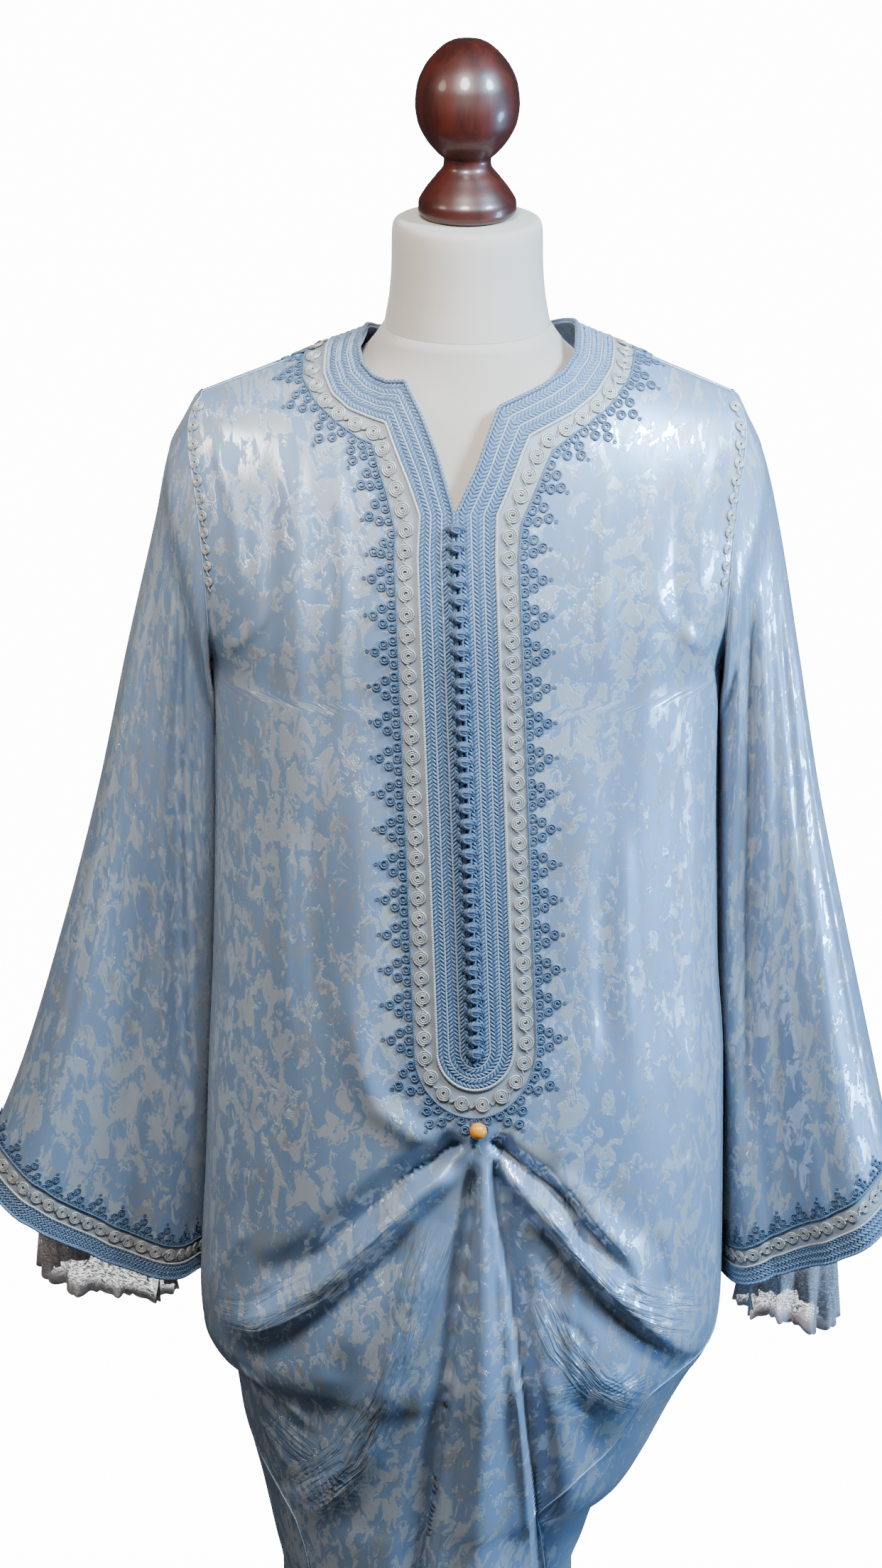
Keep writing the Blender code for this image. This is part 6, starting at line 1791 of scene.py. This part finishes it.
class Frills:
    """Gathered lace inside the cuffs."""

    def __init__(self, finish: bpy.types.Material, fine: float) -> None:
        """Keeps the finish and the fineness."""
        self.finish = finish
        self.fine = fine

    @staticmethod
    def seam(side: Side, angle: np.ndarray) -> np.ndarray:
        """The line inside the sleeve on which a frill is sewn."""
        here, ahead = (sleeve_points(side, angle + turn, FRILL_SEAM_V) for turn in (0.0, 0.05))
        inwards = np.cross(ahead - here, sleeve_points(side, angle, FRILL_SEAM_V - 0.02) - here)
        inwards /= np.linalg.norm(inwards, axis=-1, keepdims=True)
        ends = [sleeve_points(side, turn, FRILL_SEAM_V) for turn in (0.0, math.pi)]
        towards = (((ends[0] + ends[1]) / 2 - here) * inwards).sum(-1, keepdims=True)
        return here + inwards * np.where(towards < 0, -FRILL_SEAM_INSET, FRILL_SEAM_INSET)

    def build(self, side: Side) -> tuple[bpy.types.Object, Cloth]:
        """One frill.

        Args:
            side: which cuff.

        Returns:
            The piece and its sheet.
        """
        left = side is Side.LEFT
        size = dict(zip(FRILL_COLUMNS, FRILL_LEFT if left else FRILL_RIGHT))
        outer_x, outer_z, inner_x, inner_z = (SLEEVE_LEFT if left else SLEEVE_RIGHT)[-1][1:5]
        count, rows = round(260 * self.fine), 16
        angle = np.linspace(0, 2 * math.pi, count, endpoint=False)[None, :]
        down = np.linspace(0, 1, rows)[:, None]
        waves = np.cos(10 * (angle - math.pi / 20)) + 0.35 * np.sin(23 * angle + 1.3 + 1.5 * down) * down
        swing = -np.interp(down, [0, 0.5, 1], [0.0012, 0.0034, 0.0060]) * waves
        x = size["middle_x"] + (size["half_x"] + swing) * np.cos(angle)
        y = size["middle_y"] - (size["half_y"] + swing) * np.sin(angle)
        high = inner_z + (outer_z - inner_z) * (x - inner_x) / (outer_x - inner_x)
        low = size["inner_low_z"] + (size["outer_low_z"] - size["inner_low_z"]) * (1 + np.cos(angle)) / 2
        scallop = 0.0022 * np.abs(np.sin(angle * 17)) - 0.0035 * np.sin(angle * 4 + 0.9)
        z = high + (low - scallop - high) * down
        hanging = np.stack([side.value * x, y, z], -1)
        seam = self.seam(side, angle)
        joining = seam + (hanging[:1] - seam) * np.linspace(0, 1, 4, endpoint=False)[:, None, None]
        points = np.concatenate([joining, hanging])
        share = np.linspace(0, 1, len(points))[:, None]
        weave = np.stack(np.broadcast_arrays(angle * 0.20 + side.value, share * 0.060, share), -1)
        flat = points.reshape(-1, 3)
        faces = Grid(points, weave).faces(closed=True)
        if left:
            faces = faces[:, ::-1]
        cloth = Cloth("lace_frill_" + side.label, flat, weave.reshape(-1, 3), faces, 0.0005)
        made = cloth.build()
        finish_piece(made, self.finish, "lace", "frill_" + side.label)
        LOG.info("frill area %.4f", cloth.area())
        return made, cloth


class Form:
    """The dress form: torso, neck, finial, pole and base."""

    def __init__(self, finishes: dict[str, bpy.types.Material]) -> None:
        """Keeps the finishes."""
        self.finishes = finishes

    @staticmethod
    def turned(name: str, profile: Sequence[tuple[float, float]], around: int,
               steps: int) -> bpy.types.Object:
        """A solid turned about the Z axis, its profile made smooth."""
        line = np.array(profile)
        starts = np.concatenate([[0], np.cumsum(np.linalg.norm(np.diff(line, axis=0), axis=1))])
        at = np.linspace(0, starts[-1], steps)
        radius, height = (column(list(zip(starts, line[:, k])), ("at", "value"), "value", at) for k in (0, 1))
        turn = np.linspace(0, 2 * math.pi, around, endpoint=False)
        points = np.stack([radius[:, None] * np.cos(turn), radius[:, None] * np.sin(turn),
                           np.repeat(height[:, None], around, 1)], -1)
        faces = Grid(points, points).faces(closed=True).tolist()
        last = (steps - 1) * around
        faces += [list(reversed(range(around))), [last + k for k in range(around)]]
        made = mesh_object(name, points.reshape(-1, 3), faces)
        made.data.set_sharp_from_angle(angle=math.radians(50))
        return made

    def torso(self) -> bpy.types.Object:
        """The jersey-covered torso."""
        rows, around = 90, 72
        heights = np.linspace(FORM[0][0], FORM[-1][0], rows)
        turn = np.linspace(0, 2 * math.pi, around, endpoint=False)
        half, front, back = (column(FORM, FORM_COLUMNS, name, heights)[:, None] for name in FORM_COLUMNS[1:])
        wide, deep = np.sin(turn), np.cos(turn)
        depth = np.where(deep > 0, front, back)
        points = np.stack([half * wide, -depth * np.sign(deep) * np.abs(deep) ** 0.9,
                           np.repeat(heights[:, None], around, 1)], -1)
        faces = Grid(points, points).faces(closed=True).tolist()
        last = (rows - 1) * around
        faces += [list(reversed(range(around))), [last + k for k in range(around)]]
        return mesh_object("form_torso_cover", points.reshape(-1, 3), faces)

    def build(self) -> None:
        """All of the form's pieces."""
        finish_piece(self.torso(), self.finishes["jersey"], "jersey", "form_torso")
        neck = self.turned("form_neck_cover", NECK_PROFILE, 96, 40)
        finish_piece(neck, self.finishes["jersey"], "jersey", "form_neck")
        finial = self.turned("form_finial", FINIAL_PROFILE, 96, 90)
        finish_piece(finial, self.finishes["wood"], "mahogany", "finial")
        base = self.turned("form_base", BASE_PROFILE, 128, 40)
        finish_piece(base, self.finishes["wood"], "mahogany", "base")
        pole = self.turned("form_pole", ((POLE_RADIUS, 0.0263), (POLE_RADIUS, FORM[0][0] - SEAM_GAP)), 40, 4)
        finish_piece(pole, self.finishes["steel"], "steel", "pole")


class Studio:
    """Floor, light and camera."""

    FOCUS = 8257.0
    PITCH = 19.0
    PLACE = (-0.0202, -4.397, 2.651)
    # each sheet's section as (y, z)
    PAPER = {
        "studio_floor": ((-6.0, 0.0), (0.45, 0.0)),
        "studio_backdrop": ((0.45, 0.0), (3.0, 0.0), (3.8, 0.12), (4.4, 0.5), (4.7, 1.2), (4.8, 6.0)),
    }
    AMBIENT = 0.09
    # name, place, aim, size, power, colour
    LAMPS = (
        ("top", (-0.10, -0.85, 2.25), (0.0, 0.0, 1.42), 0.34, 36, (1.0, 0.99, 0.96)),
        ("near", (0.90, -0.60, 2.20), (0.10, 0.0, 1.20), 0.34, 76, (0.50, 0.77, 1.0)),
        ("low", (2.20, -0.40, 0.90), (0.10, 0.0, 0.90), 0.60, 62, (0.32, 0.60, 1.0)),
        ("left", (-1.60, -0.80, 2.40), (0.0, 0.0, 1.20), 0.60, 14, (1.0, 0.96, 0.84)),
    )

    @staticmethod
    def paper() -> bpy.types.Material:
        """White studio paper, bright enough to show as white."""
        s = Shader("studio_paper")
        depth = s.node("ShaderNodeSeparateXYZ", Vector=s.local((1.0, 1.0, 1.0))).outputs["Y"]
        glow = s.math("MULTIPLY", s.ramp(depth, 0.46, 0.95), 14.0)
        s.set(Base_Color=(0.80, 0.80, 0.80), Roughness=0.9, Emission_Color=(1.0, 1.0, 1.0),
              Emission_Strength=glow)
        return s.material

    def build(self) -> None:
        """A pale floor that runs up behind, soft lamps and the photo's camera."""
        scene = bpy.context.scene
        paper = self.paper()
        for name, curve in self.PAPER.items():
            points = [(x, y, z) for y, z in curve for x in (-7.0, 7.0)]
            faces = Grid(np.array(points).reshape(len(curve), 2, 3), np.zeros(1)).faces().tolist()
            sheet = mesh_object(name, np.array(points), faces)
            sheet.data.materials.append(paper)
            sheet.visible_diffuse = sheet.visible_glossy = False
        world = bpy.data.worlds.new("studio")
        scene.world = world
        world.use_nodes = True
        ambient = world.node_tree.nodes["Background"]
        ambient.inputs[0].default_value = (0.80, 0.90, 1.0, 1)
        ambient.inputs[1].default_value = self.AMBIENT
        for name, place, aim, size, power, colour in self.LAMPS:
            lamp = bpy.data.lights.new(name, "AREA")
            lamp.shape, lamp.size, lamp.energy, lamp.color = "DISK", size, power, colour
            made = bpy.data.objects.new(name, lamp)
            made.location = place
            made.rotation_euler = (Vector(aim) - Vector(place)).to_track_quat("-Z", "Y").to_euler()
            scene.collection.objects.link(made)
        camera = bpy.data.objects.new("camera", bpy.data.cameras.new("camera"))
        camera.location = self.PLACE
        camera.rotation_euler = (math.radians(90 - self.PITCH), 0, 0)
        camera.data.sensor_width = 36
        camera.data.lens = self.FOCUS * 36 / 2208
        camera.data.clip_end = 50
        scene.collection.objects.link(camera)
        scene.camera = camera


def main() -> None:
    """Builds the garment, the form and the studio in order."""
    logging.basicConfig(level=logging.INFO, format="%(message)s")
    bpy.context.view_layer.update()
    fine = 1.0
    finishes = {
        "satin": Satin().build(),
        # the braid's top colour is painted light: lighter and greyer at the top of the robe
        "braid": Thread("braid_thread", (0.25, 0.37, 0.53), (0.055, 0.105, 0.20),
                        top=(0.50, 0.55, 0.58)).build(),
        "backing": Plain("braid_backing", (0.085, 0.165, 0.30), 0.8).build(),
        "silver": Thread("silver_thread", (0.86, 0.84, 0.80), (0.22, 0.215, 0.21), 0.25, 0.40).build(),
        "cord": Thread("cord_thread", (0.62, 0.66, 0.70), (0.20, 0.25, 0.32), 0.20, 0.45).build(),
        "piping": Plain("seam_piping", (0.26, 0.34, 0.46), 0.5).build(),
        "tape": Plain("coil_tape", (0.25, 0.27, 0.30), 0.6).build(),
        "edge": Thread("edge_thread", (0.26, 0.38, 0.54), (0.015, 0.035, 0.09), twist=300.0).build(),
        "points": Thread("point_thread", (0.135, 0.225, 0.36), (0.03, 0.065, 0.13)).build(),
        "button": Thread("button_thread", (0.12, 0.185, 0.30), (0.014, 0.030, 0.07)).build(),
        "bead": Plain("amber", (0.80, 0.27, 0.02), 0.28).build(),
        "lace": Lace().build(),
        "jersey": Jersey().build(),
        "wood": Wood().build(),
        "steel": Plain("steel", (0.45, 0.45, 0.46), 0.35, 0.9).build(),
    }
    robe = Robe(fine)
    front, back = robe.front(), robe.back()
    shown = {"body_front": front, "body_back": back}
    sleeves = {side: robe.sleeve(side) for side in Side}
    pieces = {}
    for node, cloth in shown.items():
        pieces[node] = finish_piece(cloth.build(), finishes["satin"], "satin", node)
        LOG.info("%s area %.4f", node, cloth.area())
    for side, cloth in sleeves.items():
        node = "sleeve_" + side.label
        pieces[node] = finish_piece(cloth.build(), finishes["satin"], "satin", node)
        LOG.info("%s area %.4f", node, cloth.area())
    trees = RepeatTree()
    torso_panel = Panel((front.points, front.faces), (back.points, back.faces))
    trims = Trims(trees, finishes)
    trims.build(Band(torso_panel, neck_rails(torso_panel)), "neck", "", NECK_LOOK)
    for side, cloth in sleeves.items():
        trims.build(Band(Panel((cloth.points, cloth.faces)), cuff_rails(side)), "cuff", "_" + side.label,
                    CUFF_LOOK)
    fastenings = Fastenings(trees, finishes, torso_panel)
    fastenings.buttons()
    fastenings.bead()
    for side in Side:
        fastenings.arm_coils(side)
    fastenings.seam_cords(robe)
    frills = Frills(finishes["lace"], fine)
    lace = {side: frills.build(side) for side in Side}
    Form(finishes).build()
    for node, piece in pieces.items():
        cloth = shown.get(node) or sleeves[Side.LEFT if node.endswith("left") else Side.RIGHT]
        cloth.area()
    for side, (piece, cloth) in lace.items():
        cloth.area()
    Studio().build()


if __name__ == "__main__":
    main()
